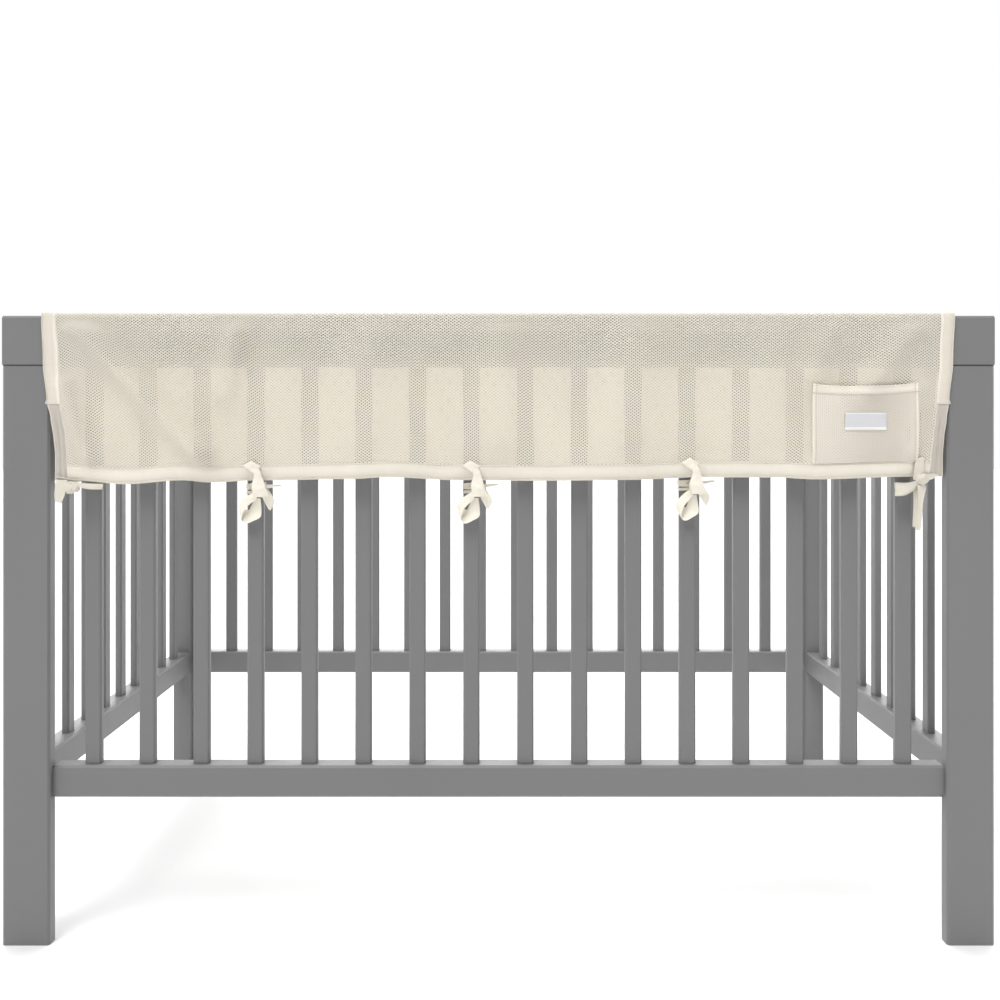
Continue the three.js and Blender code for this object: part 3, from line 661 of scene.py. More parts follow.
def stitch_run(line, normals):
    """Small round stitches set end to end along a line of points, each half sunk in the cloth."""
    steps = np.concatenate([[0], np.cumsum(np.linalg.norm(np.diff(line, axis=0), axis=1))])
    starts = np.arange(STITCH_PITCH, steps[-1] - STITCH_PITCH, STITCH_PITCH)

    def at(values, where):
        return np.stack([np.interp(where, steps, values[:, axis]) for axis in range(3)], axis=1)

    ahead = at(line, starts + STITCH_LENGTH / 2) - at(line, starts - STITCH_LENGTH / 2)
    ahead /= np.linalg.norm(ahead, axis=1, keepdims=True)
    out = at(normals, starts)
    side = np.cross(ahead, out)
    side /= np.linalg.norm(side, axis=1, keepdims=True)
    points = []
    for along, size in STITCH_RINGS:
        middle = at(line, starts) + ahead * along * STITCH_LENGTH
        reach = STITCH_RADIUS * size
        for turn in np.arange(STITCH_SIDES) * 2 * math.pi / STITCH_SIDES:
            rise = reach * math.sin(turn) + STITCH_RISE * (size - 0.5)
            points.append(middle + side * reach * math.cos(turn) + out * rise)
    each = len(points)
    flat = np.stack(points, axis=1).reshape(-1, 3)
    caps = [list(range(STITCH_SIDES))[::-1], list(range(each - STITCH_SIDES, each))]
    stitch = ring_faces(len(STITCH_RINGS), STITCH_SIDES) + caps
    faces = [[corner + each * n for corner in face] for n in range(len(starts)) for face in stitch]
    return flat, faces, flat[:, [0, 2]]


# Bindings: thickness across the width, from the outer folded edge to the edge that is sewn over the mesh.
PROFILE_AT = np.array([0, 0.5, 1.3, 2.4, 3.6, 7.0, 11.0, 15.0, 18.8, 19.9, 20.9, 21.6, 22.0])
PROFILE_HALF = np.array([0.35, 1.0, 1.3, 0.55, 1.35, 1.6, 1.65, 1.55, 1.4, 0.6, 1.15, 0.9, 0.45])
BINDING_COLUMNS = 300
OUTER_STITCH = 2.4
INNER_STITCH = 19.9
PUCKER = 0.12
PUCKER_LENGTH = 11.3
PUCKER_DRIFT = 0.6
DRIFT_LENGTH = 29.0
LIP_REACH = 2.5
LIP_WIDE = 4

# The front binding rolls a little in and out along its length, in long and in short waves.
ROLL_DEPTH = 0.9
ROLLS = [
    dict(length=27.0, drift=0.8, slow=61.0, high=1.0),
    dict(length=11.3, drift=2.0, slow=83.0, high=0.7),
]

# The pull of a bow dents it on both sides, measured from the slat's middle and the bottom edge.
DENTS = [dict(at=(-5, 6), wide=(7, 8), high=3.2), dict(at=(23, 6), wide=(9, 8), high=1.8)]

# Hems across a cloth's edge: a rounded fold, then a thinner rim
SIDE_HEM = [dict(at=1.6, wide=1.3, high=0.6), dict(at=0, wide=0.7, high=-0.9)]
STRIP_HEM = [dict(at=1.2, wide=1.0, high=0.35), dict(at=0, wide=0.5, high=-0.8)]


def puckered(half, along):
    drift = PUCKER_DRIFT * np.sin(along / DRIFT_LENGTH)
    return half + PUCKER * np.sin(2 * math.pi * along / PUCKER_LENGTH + drift)


def stitches_on(points, half, place, by_row):
    """A run of stitches on the front of a sheet, along one of its rows or columns."""
    normals = grid_normals(points)
    lifted = points + normals * (half[..., None] + STITCH_LIFT)
    if by_row:
        return stitch_run(lifted[place], normals[place])
    return stitch_run(lifted[:, place], normals[:, place])


def bottom_dents(x, z):
    above = (z - bottom_at(x)) / BINDING_WIDTH
    rolls = [w["high"] * np.sin(x / w["length"] + w["drift"] * np.sin(x / w["slow"])) for w in ROLLS]
    depth = ROLL_DEPTH * sum(rolls) * (1 - above)
    for bow in BOWS:
        at = slat_middle(bow["slat"])
        depth = depth + sum(spot(x - at, z - bottom_at(at), dent) for dent in DENTS)
    return depth


def build_bottom_binding(layer, surface, flip):
    left = edge_at(bottom_at(0), "left_inner") - SEAM_TUCK
    right = edge_at(bottom_at(0), "right_inner") + SEAM_TUCK
    x, across = np.meshgrid(np.linspace(left, right, BINDING_COLUMNS + 1)[::flip], PROFILE_AT)
    z = bottom_at(x) + across
    y = surface(x, z) + (bottom_dents(x, z) if flip > 0 else 0)
    points = np.stack([x, y, z], axis=2)
    half = puckered(np.broadcast_to(PROFILE_HALF[:, None], x.shape), x)
    places = np.stack([x, across], axis=2)
    sheet, nodes = sheet_solid(points, half, places), ["bottom_binding_" + layer]
    made = cloth_piece("bottom_tape_" + layer, [sheet], BINDING, nodes)
    rows = [list(PROFILE_AT).index(stitch) for stitch in (OUTER_STITCH, INNER_STITCH)]
    return made, [stitches_on(points, half, row, by_row=True) for row in rows]


def build_side_binding(side):
    """Its columns run from left to right on both sides, so the profile is turned round on the right."""
    left = side == "left"
    turned = 1 if left else -1
    from_outer, halves = PROFILE_AT[::turned] / BINDING_WIDTH, PROFILE_HALF[::turned]

    def x_at(z, shares):
        lip = -turned * LIP_REACH * hill(z, SIDE_BINDING_END, LIP_WIDE)
        return mix(edge_at(z, side + "_outer") + lip, edge_at(z, side + "_inner"), from_outer)

    points = cover_grid(x_at, lambda x: np.full_like(x, SIDE_BINDING_END), len(PROFILE_AT) - 1)
    places = flat_places(points)
    along = places[..., 1]
    half = puckered(np.broadcast_to(halves, points.shape[:2]), along)
    half = half + relief(np.minimum(along, along.max(axis=0) - along), SIDE_HEM)
    if not left:
        places[..., 0] = places[..., 0].max() - places[..., 0]
    sheet = sheet_solid(points, half, places)
    nodes = ["side_binding_" + side]
    made = cloth_piece("side_tape_" + side, [sheet], SIDE_BINDING, nodes)
    column = list(PROFILE_AT).index(INNER_STITCH)
    column = column if left else len(PROFILE_AT) - 1 - column
    return made, [stitches_on(points, half, column, by_row=False)]


# Below the side binding a narrower strip runs down to the bottom edge and tucks back beside the post.
STRIP_COLUMNS, STRIP_ROWS = 18, 44
STRIP_FOOT_X = 614.0
STRIP_HALF = 1.15
PLEAT_DEPTH = 1.1
PLEAT_TURNS = 2.3

# Heights where the tuck and the pleats start and are full, and the lap under the side binding's end
TUCK_FROM, TUCK_FULL = 735, 690
PLEAT_FROM, PLEAT_FULL = 758, 728
STRIP_UNDER = 1.4
STRIP_LAP = 6


def build_corner_strip(side, layer, surface):
    share = np.linspace(0, 1, STRIP_COLUMNS + 1)
    from_inner = 1 - share if side == "left" else share
    foot = bottom_at(-STRIP_FOOT_X if side == "left" else STRIP_FOOT_X)
    heights = mix(foot, SIDE_BINDING_END + 2, np.linspace(0, 1, STRIP_ROWS + 1))
    z, away = np.meshgrid(heights, from_inner, indexing="ij")
    x = mix(edge_at(z, side + "_inner"), edge_at(z, side + "_outer"), away)
    tuck = CORNER_TUCK * away**2 * smooth((TUCK_FROM - z) / (TUCK_FROM - TUCK_FULL))
    folds = np.sin(away * 2 * PLEAT_TURNS * math.pi + 0.5) * np.sin(away * math.pi)
    pleat = PLEAT_DEPTH * folds * smooth((PLEAT_FROM - z) / (PLEAT_FROM - PLEAT_FULL))
    under = STRIP_UNDER * smooth((z - SIDE_BINDING_END + STRIP_LAP) / STRIP_LAP)
    back = tuck + pleat + under
    y = surface(x, z) + (back if layer == "front" else -back)
    points = np.stack([x, y, z], axis=2)
    half = STRIP_HALF + relief(np.minimum(away, 1 - away) * STRIP_WIDTH, STRIP_HEM)
    if layer == "back":
        points, half = points[:, ::-1], half[:, ::-1]
    sheet = sheet_solid(points, half, np.stack([away * STRIP_WIDTH, z], axis=2))
    node = "corner_strip_" + layer + "_" + side
    return cloth_piece(node + "_cloth", [sheet], STRIP, [node])


def build_mesh_panel():
    columns = 220

    def x_at(z, shares):
        return mix(edge_at(z, "left_inner") - SEAM_TUCK, edge_at(z, "right_inner") + SEAM_TUCK, shares)

    points = cover_grid(x_at, lambda x: bottom_at(x) + BINDING_WIDTH - SEAM_TUCK, columns)
    places = flat_places(points, FRONT_ROWS)
    sheet = sheet_solid(points, MESH_THICK / 2, places)
    made = cloth_piece("mesh_panel", [sheet], MESH, ["cover_mesh"])
    made.data.materials.append(INNER_MESH)
    middle = (FRONT_LAYER + BACK_LAYER) / 2 * MM
    for face in made.data.polygons:
        face.material_index = int(face.center.y > middle)
    return made


# The patch pocket, thicker where its top hem and its sides are folded
POCKET_LIFT = MESH_THICK / 2 + 3.0
POCKET_FOOT_LIFT = MESH_THICK / 2 + 0.95
POCKET_COLUMNS, POCKET_ROWS = 46, 30
POCKET_PLAIN_FROM = 8
POCKET_GAP = 0.2
POCKET_HALF = 0.75
POCKET_FOLD = 0.8
HEM_SLOPE, SIDE_SLOPE = 0.9, 0.8
FOLD_OVERLAP = 0.6
THINNEST = 0.3
SEWN_SHARE = 0.16
POCKET_LEAN = dict(at=575, wide=12, high=1.4)
SIDE_POINTS = np.array([0, 0.5, 1.2, 2.4, 3.6, 4.4, SIDE_STITCH, 5.4, 6.0, 6.6])
HEM_POINTS = np.array([0, 0.5, 1.2, 2.4, 4.5, 7, 9.5, 11, 11.9, HEM_STITCH, 13.2, 13.7, 14.4])
HEM_RELIEF = [dict(at=HEM_STITCH, wide=0.9, high=-0.75), dict(at=0, wide=0.5, high=-0.7)]
SIDE_RELIEF = [dict(at=SIDE_STITCH, wide=0.8, high=-0.6), dict(at=0, wide=0.5, high=-0.7)]


def pocket_grid():
    middle = np.linspace(POCKET_PLAIN_FROM, POCKET_WIDTH - POCKET_PLAIN_FROM, POCKET_COLUMNS)
    across = np.concatenate([SIDE_POINTS, middle, POCKET_WIDTH - SIDE_POINTS[::-1]])
    share = across / across[-1]
    x = mix(POCKET["left"], POCKET["right"], share)
    arch = 4 * share * (1 - share)
    top = mix(POCKET["top_left"], POCKET["top_right"], share) - POCKET["sag"] * arch
    bottom = bottom_at(x) + BINDING_WIDTH + POCKET_GAP
    body = [mix(bottom, top - HEM_POINTS[-1] - 1, up) for up in np.linspace(0, 1, POCKET_ROWS)]
    z = np.array(body + [top - down for down in HEM_POINTS[::-1]])
    x = np.broadcast_to(x, z.shape)
    rise = (z - bottom) / (top - bottom)
    sewn_down = (POCKET_LIFT - POCKET_FOOT_LIFT) * (1 - smooth(rise / SEWN_SHARE))
    out = POCKET["bulge"] * arch * rise + relief(x, [POCKET_LEAN]) * rise
    y = front_y(x, z) - POCKET_LIFT + sewn_down - out
    down = top - z
    side = np.minimum(across, across[-1] - across)
    hem = smooth((POCKET["hem"] - down) / HEM_SLOPE)
    folded = smooth((POCKET["side"] - side) / SIDE_SLOPE)
    half = POCKET_HALF + POCKET_FOLD * (hem + folded * (1 - FOLD_OVERLAP * hem))
    half = np.maximum(half + relief(down, HEM_RELIEF) + relief(side, SIDE_RELIEF), THINNEST)
    return np.stack([x, y, z], axis=2), half, np.stack([np.broadcast_to(across, z.shape), down], axis=2)


def build_pocket():
    points, half, places = pocket_grid()
    sheet = sheet_solid(points, half, places)
    made = cloth_piece("patch_pocket", [sheet], POCKET_MESH, ["pocket"])
    hem_row = -1 - list(HEM_POINTS).index(HEM_STITCH)
    column = list(SIDE_POINTS).index(SIDE_STITCH)
    sewn = [stitches_on(points, half, hem_row, by_row=True)]
    sewn += [stitches_on(points, half, at, by_row=False) for at in (column, -1 - column)]
    return made, sewn


# The label follows the pocket's bulge between these heights. Its folds: from, to and how much thicker.
BULGE_FROM, BULGE_TO = 680, 792
LABEL_GAP = 0.9
LABEL_WAVE = 0.5
BELLY_WAVES = 1.3
LABEL_HALF = 0.25
LABEL_COLUMNS = 40
LABEL_FOLDS = [(0, 0.18, 0.3), (0.96, 1, 0.15)]
LABEL_ROWS = np.concatenate([[0, 0.4, 1.0, 2.6, 4.2, 4.6], np.linspace(5.4, 22.6, 14), [23.2, 23.7, 24.1]])


def build_label():
    share, rise = np.meshgrid(np.linspace(0, 1, LABEL_COLUMNS), LABEL_ROWS / LABEL_ROWS[-1])
    x = mix(LABEL["left"], LABEL["right"], share)
    z = mix(LABEL["bottom"], LABEL["top"], rise) + LABEL_WAVE * np.sin(share * math.pi)
    across = (x - POCKET["left"]) / POCKET_WIDTH
    bulge = POCKET["bulge"] * 4 * across * (1 - across) * (z - BULGE_FROM) / (BULGE_TO - BULGE_FROM)
    belly = LABEL_WAVE * np.sin(share * 2 * BELLY_WAVES * math.pi) * np.sin(rise * math.pi)
    y = front_y(x, z) - POCKET_LIFT - POCKET_HALF - LABEL_GAP - bulge - belly
    half = LABEL_HALF + sum(more * ((rise >= low) & (rise <= high)) for low, high, more in LABEL_FOLDS)
    places = np.stack([x - LABEL["left"], z - LABEL["bottom"]], axis=2)
    sheet = sheet_solid(np.stack([x, y, z], axis=2), half, places)
    return cloth_piece("satin_label_piece", [sheet], SATIN, ["label"])


# Tapes: each station is a pair of points, one on each edge of the tape.
TAPE_STEPS = 7
TAPE_COLUMNS = 8
TAPE_RIM = 0.75

# Long creases and small puckers of a tape: height, turns across and along it, and a crease's drift
TAPE_CREASE = dict(high=0.28, across=9.4, along=0.23, drift=1.3)
TAPE_PUCKER = dict(high=0.2, across=4, along=0.55)

# Frays: shortest and longest, how far the tip and the middle stray, and the points round a thread
FRAY_LENGTH = (1.2, 3.0)
FRAY_STRAY = 0.45
FRAY_BEND = 0.25
FRAY_ROOT = 0.4
FRAY_RADIUS = 0.16
FRAY_TAPER = 0.7
FRAY_RING = np.array([(1, 0, 0), (-0.5, -0.87, 0), (-0.5, 0.87, 0)])

# A knot's rings of points, and its spiral creases: arms round it, turns from end to end and height
KNOT_RINGS, KNOT_SIDES = 18, 28
KNOT_CREASES = [(3, 4, 0.1), (7, -6, 0.05)]


def curve_through(points, steps):
    points = np.asarray(points, float)
    ends = np.vstack([2 * points[0] - points[1], points, 2 * points[-1] - points[-2]])
    line = []
    for k in range(1, len(ends) - 2):
        before, start, stop, after = ends[k - 1 : k + 3]
        for t in np.arange(steps) / steps:
            straight = 2 * start + (stop - before) * t
            bent = (2 * before - 5 * start + 4 * stop - after) * t**2
            turned = (3 * start - before - 3 * stop + after) * t**3
            line.append(0.5 * (straight + bent + turned))
    return np.array(line + [points[-1]])


def tape(stations, curl, seed=0.0):
    """A tape through its stations, with long creases, small puckers and an arch across its width."""
    first = curve_through([station[0] for station in stations], TAPE_STEPS)
    second = curve_through([station[1] for station in stations], TAPE_STEPS)
    across = np.linspace(0, 1, TAPE_COLUMNS + 1)[None, :, None]
    points = mix(first[:, None], second[:, None], across)
    length = np.arange(len(first))[:, None]
    share = across[..., 0]
    drift = TAPE_CREASE["drift"] * np.sin(length * TAPE_CREASE["along"] + seed)
    creases = TAPE_CREASE["high"] * np.sin(share * TAPE_CREASE["across"] + drift + seed)
    slant = length * TAPE_PUCKER["along"] + share * TAPE_PUCKER["across"]
    puckers = TAPE_PUCKER["high"] * np.sin(slant + 2 * seed)
    arch = curl * 4 * share * (1 - share) + (creases + puckers) * np.sin(share * math.pi)
    points = points + grid_normals(points) * arch[..., None]
    rim = np.minimum(share, 1 - share) * TAPE_COLUMNS
    half = TAPE_THICK / 2 * mix(TAPE_RIM, 1, np.clip(rim, 0, 1)) * np.ones_like(length)
    return sheet_solid(points, half, flat_places(points))


def frays(first, second, down, count, seed):
    """Loose thread ends along a cut edge."""
    random = np.random.default_rng(seed)
    first, second, down = (np.asarray(v, float) for v in (first, second, down))
    parts = []
    for share in np.linspace(0.03, 0.97, count):
        root = mix(first, second, share) - FRAY_ROOT * down
        tip = root + down * random.uniform(*FRAY_LENGTH) + random.normal(0, FRAY_STRAY, 3)
        middle = (root + tip) / 2 + random.normal(0, FRAY_BEND, 3)
        line = curve_through([root, middle, tip], 2)
        sizes = FRAY_RADIUS * (1 - FRAY_TAPER * np.arange(len(line)) / (len(line) - 1))
        points = np.concatenate([point + FRAY_RING * size for point, size in zip(line, sizes)])
        last = len(points) - 3
        faces = ring_faces(len(line), 3) + [[2, 1, 0], [last, last + 1, last + 2]]
        parts.append((points, faces, points[:, [0, 2]]))
    return parts


def knot_lump(middle, size, seed):
    """A small tight knot: a closed lump with creases that spiral round it."""
    rings, sides = KNOT_RINGS, KNOT_SIDES
    middle, size = np.array(middle), np.array(size)
    points = []
    for polar in math.pi * np.arange(1, rings) / rings:
        for turn in np.arange(sides) * 2 * math.pi / sides:
            spirals = [high * math.sin(arms * turn + up * polar + seed) for arms, up, high in KNOT_CREASES]
            flat = math.sin(polar)
            ball = np.array([flat * math.cos(turn), flat * math.sin(turn), math.cos(polar)])
            points.append(middle + ball * size * (1 + sum(spirals)))
    top = len(points)
    points += [middle + [0, 0, size[2]], middle - [0, 0, size[2]]]
    faces = [face[:1] + face[:0:-1] for face in ring_faces(rings - 1, sides)]
    last = (rings - 2) * sides
    faces += [[top, s, (s + 1) % sides] for s in range(sides)]
    faces += [[top + 1, last + (s + 1) % sides, last + s] for s in range(sides)]
    points = np.array(points)
    return points, faces, points[:, [0, 2]]


# Bow: stations measured from the slat's middle, the slat's front face and the cover's bottom edge
BOW_LOOP = [
    ((5.4, -8, -27), (1.2, -8, -16.5)),
    ((-3.2, -13, -33.6), (-8.2, -10.5, -22.4)),
    ((-9.8, -15.5, -40.6), (-16.4, -11.5, -30.2)),
    ((-12.8, -16, -48), (-20.4, -9, -38.6)),
    ((-14, -15, -57.2), (-17.8, -6, -45.4)),
    ((-8, -14, -61.4), (-11, -6, -41.6)),
    ((2.4, -12.2, -57.2), (-6.2, -7, -42.6)),
    ((11.4, -10, -51.4), (-4.3, -7, -39.6)),
    ((11.8, -9, -39.2), (-1.0, -7, -32.6)),
    ((10, -9, -25.6), (3.2, -7, -25.6)),
]
BOW_RIGHT_TAIL = [
    ((9, -7, -12), (15, -6, -6)),
    ((13.4, -8.5, -24.7), (25.6, -7, -20)),
    ((17.5, -8.5, -33), (29.7, -6, -30.5)),
    ((22.2, -7, -41.2), (24.8, -6, -41.6)),
]
BOW_THIN_TAPE = [
    ((12, -9, -12), (12, -8.5, -5.6)),
    ((20, -10, -10.8), (20.6, -9, -5.6)),
    ((30, -9, -8.8), (30.4, -8, -5.4)),
    ((38.6, -7, -7.2), (38.8, -6.6, -6)),
]
BOW_FRONT_TAPE = [
    ((-0.5, -20.4, 14.5), (9.5, -20.4, 18)),
    ((2.8, -21, 11), (12.2, -20.7, 13)),
    ((3.2, -20.6, 6.5), (14.2, -20.2, 7)),
    ((1.9, -19.8, 1.5), (16, -19.2, 1.5)),
    ((0.4, -20, -4), (17.4, -19, -4)),
    ((0.3, -20.6, -10.6), (19.3, -18.8, -10.6)),
    ((1.5, -19.4, -17), (21.6, -17, -16.8)),
    ((2.6, -17.5, -23.2), (23.3, -15.2, -22.2)),
]

# Turns of the tape round the slat: lower and upper edge from the cover's bottom edge, and the tilt
WRAPS = [
    dict(low=-9, high=-4.0, tilt=0.9),
    dict(low=-14, high=-9.8, tilt=-0.7),
    dict(low=-19, high=-14.8, tilt=0.6),
]
WRAP_GAP = 0.9
WRAP_SHARES = (0.08, 0.3, 0.5, 0.7, 0.92)

# The sewn end of the tape: corners from the slat's middle and the bottom edge, and its small relief
TAB = dict(apex=(-1, 28.6), right=(12.4, 20.4), bottom=(4.5, 9.5), left=(-12.4, 21.2))
TAB_POINTS = 14
TAB_LIFT = BINDING_THICK / 2 + 1.3
TAB_RELIEF = [dict(at=(5, 12), wide=(5.5, 4.5), high=2.2), dict(at=(2, 18.4), wide=(2.6, 2.2), high=-1.0)]
TAB_EDGE = dict(at=0, wide=0.08, high=0.5)

# The tape to the back layer: half its width, its gaps to the slat and the binding, and its heights
BACK_TAPE_HALF = 5
BACK_TAPE_GAPS = (1.2, 1.0)
BACK_TAPE_HEIGHTS = (-9, -4, 3, 16)

# The knot, and the point that a bow is turned about
BOW_PIVOT = np.array([8.0, -10.0])
BOW_KNOT = dict(at=(8, -10, -12), size=(8, 8, 9))


def tab_patch(at, low):
    """The diamond end of the tape, sewn flat over the top of the binding, its lower corner lifted."""
    across, up = np.meshgrid(np.linspace(0, 1, TAB_POINTS), np.linspace(0, 1, TAB_POINTS))
    corner = {name: np.array(place) for name, place in TAB.items()}
    left = mix(corner["bottom"], corner["left"], up[..., None])
    right = mix(corner["right"], corner["apex"], up[..., None])
    flat = mix(left, right, across[..., None])
    x, z = flat[..., 0] + at, flat[..., 1] + low
    lifted = sum(spot(flat[..., 0], flat[..., 1], shape) for shape in TAB_RELIEF)
    edge = np.minimum(np.minimum(across, 1 - across), np.minimum(up, 1 - up))
    y = front_y(x, z) - TAB_LIFT - lifted + relief(edge, [TAB_EDGE])
    return sheet_solid(np.stack([x, y, z], axis=2), TAPE_THICK / 2, flat)


def wrap_band(at, low, band):
    """One turn of the tape round the slat."""
    reach, y_low, y_high = SLAT_WIDTH / 2 + WRAP_GAP, SLAT_FRONT - WRAP_GAP, SLAT_BACK + WRAP_GAP
    corners = [(reach, y_low), (-reach, y_low), (-reach, y_high), (reach, y_high), (reach, y_low)]
    stations = []
    for (x0, y0), (x1, y1) in zip(corners, corners[1:]):
        for share in WRAP_SHARES:
            x, y = mix(x0, x1, share), mix(y0, y1, share)
            z = low + band["tilt"] * x / reach
            stations.append(((at + x, y, z + band["low"]), (at + x, y, z + band["high"])))
    return tape(stations, curl=-0.3, seed=band["tilt"])


def back_tape(at, low):
    """A short tape from the wrap to the inner side of the cover's back layer."""
    wrap = SLAT_BACK + BACK_TAPE_GAPS[0]
    cloth = back_y(at, low) - BINDING_THICK / 2 - BACK_TAPE_GAPS[1]
    left, right = at - BACK_TAPE_HALF, at + BACK_TAPE_HALF
    path = zip((wrap, (wrap + cloth) / 2, cloth, cloth), BACK_TAPE_HEIGHTS)
    return tape([((left, y, low + z), (right, y, low + z)) for y, z in path], curl=0.2)


def placed(stations, at, low, turn=0.0, grow=1.0):
    """Stations moved to a bow's slat, and turned and scaled a little about the knot."""

    def move(point):
        x, z = (np.array([point[0], point[2]]) - BOW_PIVOT) * grow
        turned_x = BOW_PIVOT[0] + x * math.cos(turn) - z * math.sin(turn)
        turned_z = BOW_PIVOT[1] + x * math.sin(turn) + z * math.cos(turn)
        return np.array([turned_x + at, point[1] + SLAT_FRONT, turned_z + low])

    return [(move(first), move(second)) for first, second in stations]


def build_bow(bow):
    at = slat_middle(bow["slat"])
    low = float(bottom_at(at))
    turn, grow = bow["turn"], bow["grow"]
    front = placed(BOW_FRONT_TAPE, at, low)
    loop, tail, thin = (placed(s, at, low, turn, grow) for s in (BOW_LOOP, BOW_RIGHT_TAIL, BOW_THIN_TAPE))
    parts = [
        tab_patch(at, low),
        tape(front, curl=-0.9, seed=1 + turn * 9),
        tape(loop, curl=0.6, seed=2 + turn * 9),
        tape(tail, curl=-1.0, seed=3),
        tape(thin, curl=0.5, seed=4),
        knot_lump(np.add(BOW_KNOT["at"], (at, SLAT_FRONT, low)), BOW_KNOT["size"], seed=turn * 30),
        back_tape(at, low),
    ]
    parts += [wrap_band(at, low, band) for band in WRAPS]
    parts += frays(*front[-1], (0.1, 0, -1), count=20, seed=5)
    parts += frays(*tail[-1], (0.2, 0, -1), count=5, seed=6)
    return cloth_piece("bow_" + bow["side"], parts, TAPE, ["tie_" + bow["side"]])


# Corner ties: stations measured from the tie's place along the rail, the front layer and the bottom edge
LEFT_CORNER = dict(
    x=-CORNER_TIE_X,
    knots=[dict(at=(-3.5, -5, -9.4), size=(9.4, 7.5, 8.4)), dict(at=(4.4, -6, -9), size=(6.4, 6, 7))],
    tapes=[
        [((-26, -2, 6.8), (-25.5, 3, 5)), ((-12, -4.5, 4.4), (-12, 1.5, 2.4)),
         ((1, -5, 2.4), (1, 1, 0.2)), ((10, -3, 0.9), (10, 2, -1))],
        [((-25.4, -1, 1.5), (-7, -5, 1.5)), ((-25.8, -3, -10), (-9.5, -6.5, -9)),
         ((-26.6, -3, -20), (-11, -6, -20)), ((-26.6, -2, -28.8), (-17.2, -4, -32.2))],
        [((5, -5, -1), (5, -7, -8)), ((14, -7.5, -3), (13, -9, -9.5)),
         ((27, -7, -4), (26, -9, -11.8)), ((42.3, -5, -4.4), (42.3, -6.5, -11.9))],
        [((0, 4, -6), (0, 4, 2)), ((-1, 16, -3), (-1, 16, 6)), ((0, 31, -1), (0, 31, 7))],
    ],
    frayed=[dict(tape=1, down=(-0.1, 0, -1)), dict(tape=2, down=(1, 0, 0))],
)
RIGHT_CORNER = dict(
    x=CORNER_TIE_X,
    knots=[dict(at=(-3, -5, -3), size=(9, 7, 8))],
    tapes=[
        [((-15, -4, -4), (-2, -4, -4)), ((-15, -6, 8), (-1.5, -6.5, 8)),
         ((-14.4, -8, 18), (-1.6, -8.5, 19)), ((-12.6, -9.5, 24.5), (-2, -10, 26.4)),
         ((-12, -6, 25), (-2.4, -6, 26.6)), ((-13, -4.5, 17), (-3, -4.5, 18))],
        [((-10, -6, -5), (-8, -6, -9)), ((-24, -9, -8), (-23, -10, -20)),
         ((-36, -9, -9), (-36, -10.5, -25)), ((-41.4, -5, -8.6), (-41.4, -6, -26.4)),
         ((-37, 0, -8), (-37, -1.5, -27.4)), ((-24, 1, -8.6), (-24, -0.5, -26)),
         ((-10, -1, -7), (-10, -2.5, -17))],
        [((-13, -5, -10), (-4, -5, -8)), ((-10, -7, -16), (1.8, -6, -14)),
         ((-9.6, -6, -36), (-1.6, -5, -36)), ((-9.9, -5, -56), (-2.8, -4.5, -56)),
         ((-12.6, -4.5, -74.5), (-4.6, -4, -76))],
        [((-13.2, 0, -12), (-7.4, -1, -12)), ((-13, 0, -40), (-7.6, -2, -40)),
         ((-14.4, 0, -70), (-9.4, -2, -71))],
        [((-3, -7, -3), (0, -5.5, 4)), ((8, -6, -4), (12, -4, 4.8)),
         ((20, -3, 0.6), (21, -1, 3.8)), ((28.4, 2, 0.8), (28.6, 4, 2.8))],
        [((0, 4, -6), (0, 4, 2)), ((1, 16, -4), (1, 16, 5)), ((0, 31, -3), (0, 31, 5))],
    ],
    frayed=[dict(tape=2, down=(0, 0, -1)), dict(tape=3, down=(0, 0, -1))],
)


def build_corner_tie(side, corner):
    low = float(bottom_at(corner["x"]))
    origin = np.array([corner["x"], front_y(corner["x"], low), low])
    parts = []
    for place, stations in enumerate(corner["tapes"]):
        moved = [(origin + first, origin + second) for first, second in stations]
        parts.append(tape(moved, curl=0.7, seed=place + 0.5))
    for knot in corner["knots"]:
        parts.append(knot_lump(origin + knot["at"], knot["size"], seed=corner["x"]))
    for place, end in enumerate(corner["frayed"]):
        first, second = corner["tapes"][end["tape"]][-1]
        parts += frays(origin + first, origin + second, end["down"], count=12, seed=20 + place)
    return cloth_piece("corner_knot_" + side, parts, CORNER_TAPE, ["corner_tie_" + side])


# The crib keeps its own solids, with softened edges and paint.
CRIB_WORDS = ("rail", "slat", "post", "panel")
EDGE_ROUND = 1.3
EDGE_STEPS = 2
EDGE_ANGLE = 25


def paint_crib():
    for name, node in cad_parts.items():
        if not any(word in name for word in CRIB_WORDS):
            continue
        node.data.materials.clear()
        node.data.materials.append(PAINT)
        bevel = node.modifiers.new("soft_edges", "BEVEL")
        bevel.width = EDGE_ROUND * MM
        bevel.segments = EDGE_STEPS
        bevel.limit_method = "ANGLE"
        bevel.angle_limit = math.radians(EDGE_ANGLE)
        bevel.harden_normals = True


# Light: its strength all round, from behind, from above and in the lamp, and where the lamp stands
AMBIENT = 0.15
FROM_BEHIND = 4.4
FROM_ABOVE = 0.4
KEY_LIGHT = 2.5
KEY_SPREAD = 0.6
KEY_FROM = (-0.26, -0.42, 0.87)

# Camera and floor, in metres
CAMERA_DISTANCE = 1.411
CAMERA_HEIGHT = 0.724
CAMERA_SHIFT = (0.0016, -0.0675)
CAMERA_LENS = 36
CAMERA_RANGE = (0.05, 80)
FLOOR_REACH, FLOOR_SIDES = 20, 64


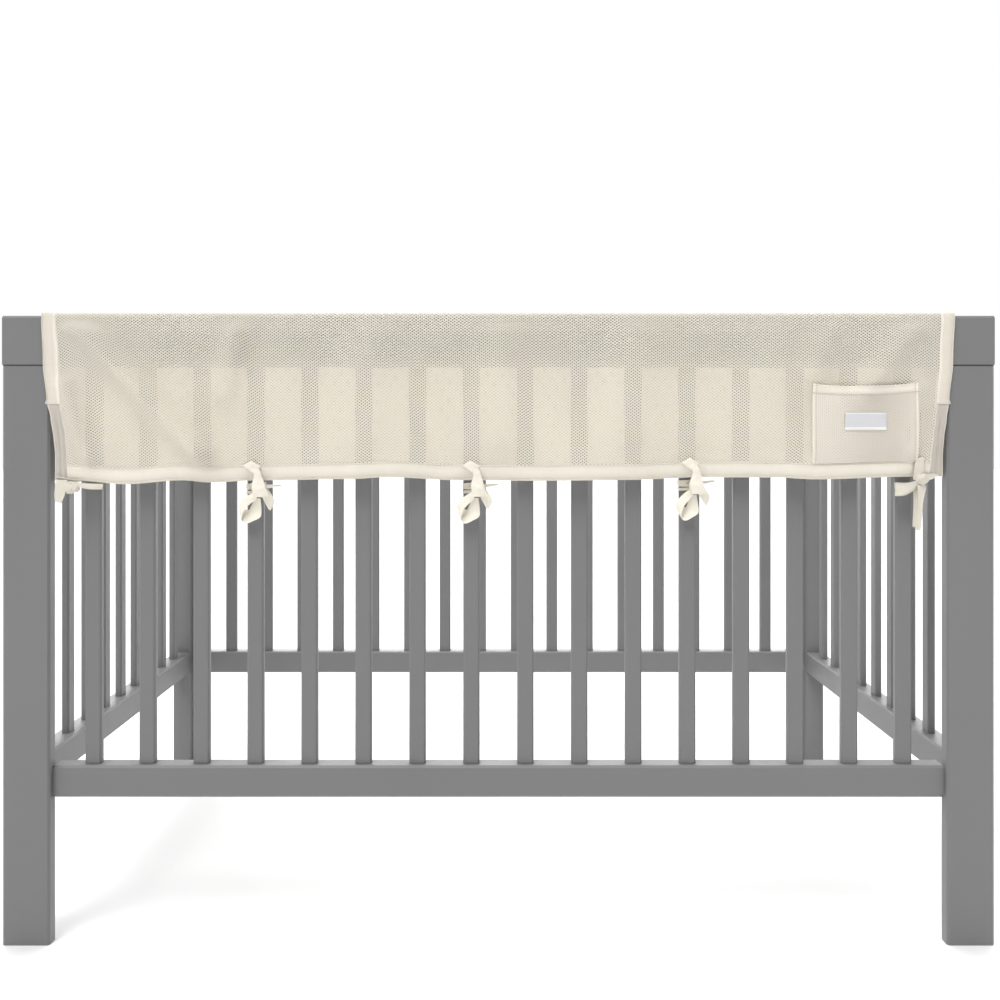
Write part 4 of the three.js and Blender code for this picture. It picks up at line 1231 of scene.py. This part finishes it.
def build_camera():
    data = bpy.data.cameras.new("camera")
    data.lens = data.sensor_width = CAMERA_LENS
    data.shift_x, data.shift_y = CAMERA_SHIFT
    data.clip_start, data.clip_end = CAMERA_RANGE
    camera = add_object("camera", data)
    camera.location = (0, RAIL_FRONT * MM - CAMERA_DISTANCE, CAMERA_HEIGHT)
    camera.rotation_euler = (math.pi / 2, 0, 0)
    bpy.context.scene.camera = camera


def build_light():
    """Plain white for the camera, soft light mostly from behind, and a broad lamp high at the left."""
    world = bpy.data.worlds.new("studio")
    world.use_nodes = True
    tree = world.node_tree
    background = tree.nodes["Background"]
    background.inputs["Color"].default_value = (1, 1, 1, 1)
    direction = split(tree, tree.nodes.new("ShaderNodeTexCoord").outputs["Generated"])
    around = AMBIENT
    for axis, most in (("Y", FROM_BEHIND), ("Z", FROM_ABOVE)):
        share = calc(tree, "MAXIMUM", direction[axis], 0.0)
        around = calc(tree, "ADD", calc(tree, "MULTIPLY", share, most), around)
    seen = tree.nodes.new("ShaderNodeLightPath").outputs["Is Camera Ray"]
    unseen = calc(tree, "MULTIPLY", around, calc(tree, "SUBTRACT", 1.0, seen))
    tree.links.new(calc(tree, "ADD", seen, unseen), background.inputs["Strength"])
    bpy.context.scene.world = world
    bpy.context.scene.view_settings.view_transform = "Standard"
    data = bpy.data.lights.new("key", "SUN")
    data.energy = KEY_LIGHT
    data.angle = KEY_SPREAD
    key = add_object("key", data)
    x, y, z = KEY_FROM
    key.rotation_euler = (math.atan2(math.hypot(x, y), z), 0, math.atan2(x, -y))


def build_floor():
    mesh = bpy.data.meshes.new("floor")
    turns = np.arange(FLOOR_SIDES) * 2 * math.pi / FLOOR_SIDES
    ring = [(FLOOR_REACH * math.cos(t), FLOOR_REACH * math.sin(t), 0) for t in turns]
    mesh.from_pydata(ring, [], [list(range(FLOOR_SIDES))])
    material, tree, shader = new_material("pale_floor", roughness=0.9)
    light, dark = FLOOR_GREY
    place = tree.nodes.new("ShaderNodeTexCoord").outputs["Object"]
    colour = blend_colours(tree, noise(tree, place, FLOOR_SCALE), dark, light)
    tree.links.new(colour, shader.inputs["Base Color"])
    mesh.materials.append(material)
    floor = add_object("floor", mesh)


build_camera()
build_light()
build_floor()
paint_crib()

mesh_panel = build_mesh_panel()
front_binding, front_sewing = build_bottom_binding("front", front_y, 1)
back_binding, back_sewing = build_bottom_binding("back", back_y, -1)
left_binding, left_sewing = build_side_binding("left")
right_binding, right_sewing = build_side_binding("right")
strips = [
    build_corner_strip(side, layer, surface)
    for layer, surface in (("front", front_y), ("back", back_y))
    for side in ("left", "right")
]
pocket, pocket_sewing = build_pocket()
label = build_label()
bows = [build_bow(bow) for bow in BOWS]
corner_ties = [build_corner_tie("left", LEFT_CORNER), build_corner_tie("right", RIGHT_CORNER)]
sewing = {
    "front_stitches": front_sewing,
    "back_stitches": back_sewing,
    "side_stitches": left_sewing + right_sewing,
    "pocket_stitches": pocket_sewing,
}
stitches = {name: cloth_piece(name, parts, THREAD) for name, parts in sewing.items()}
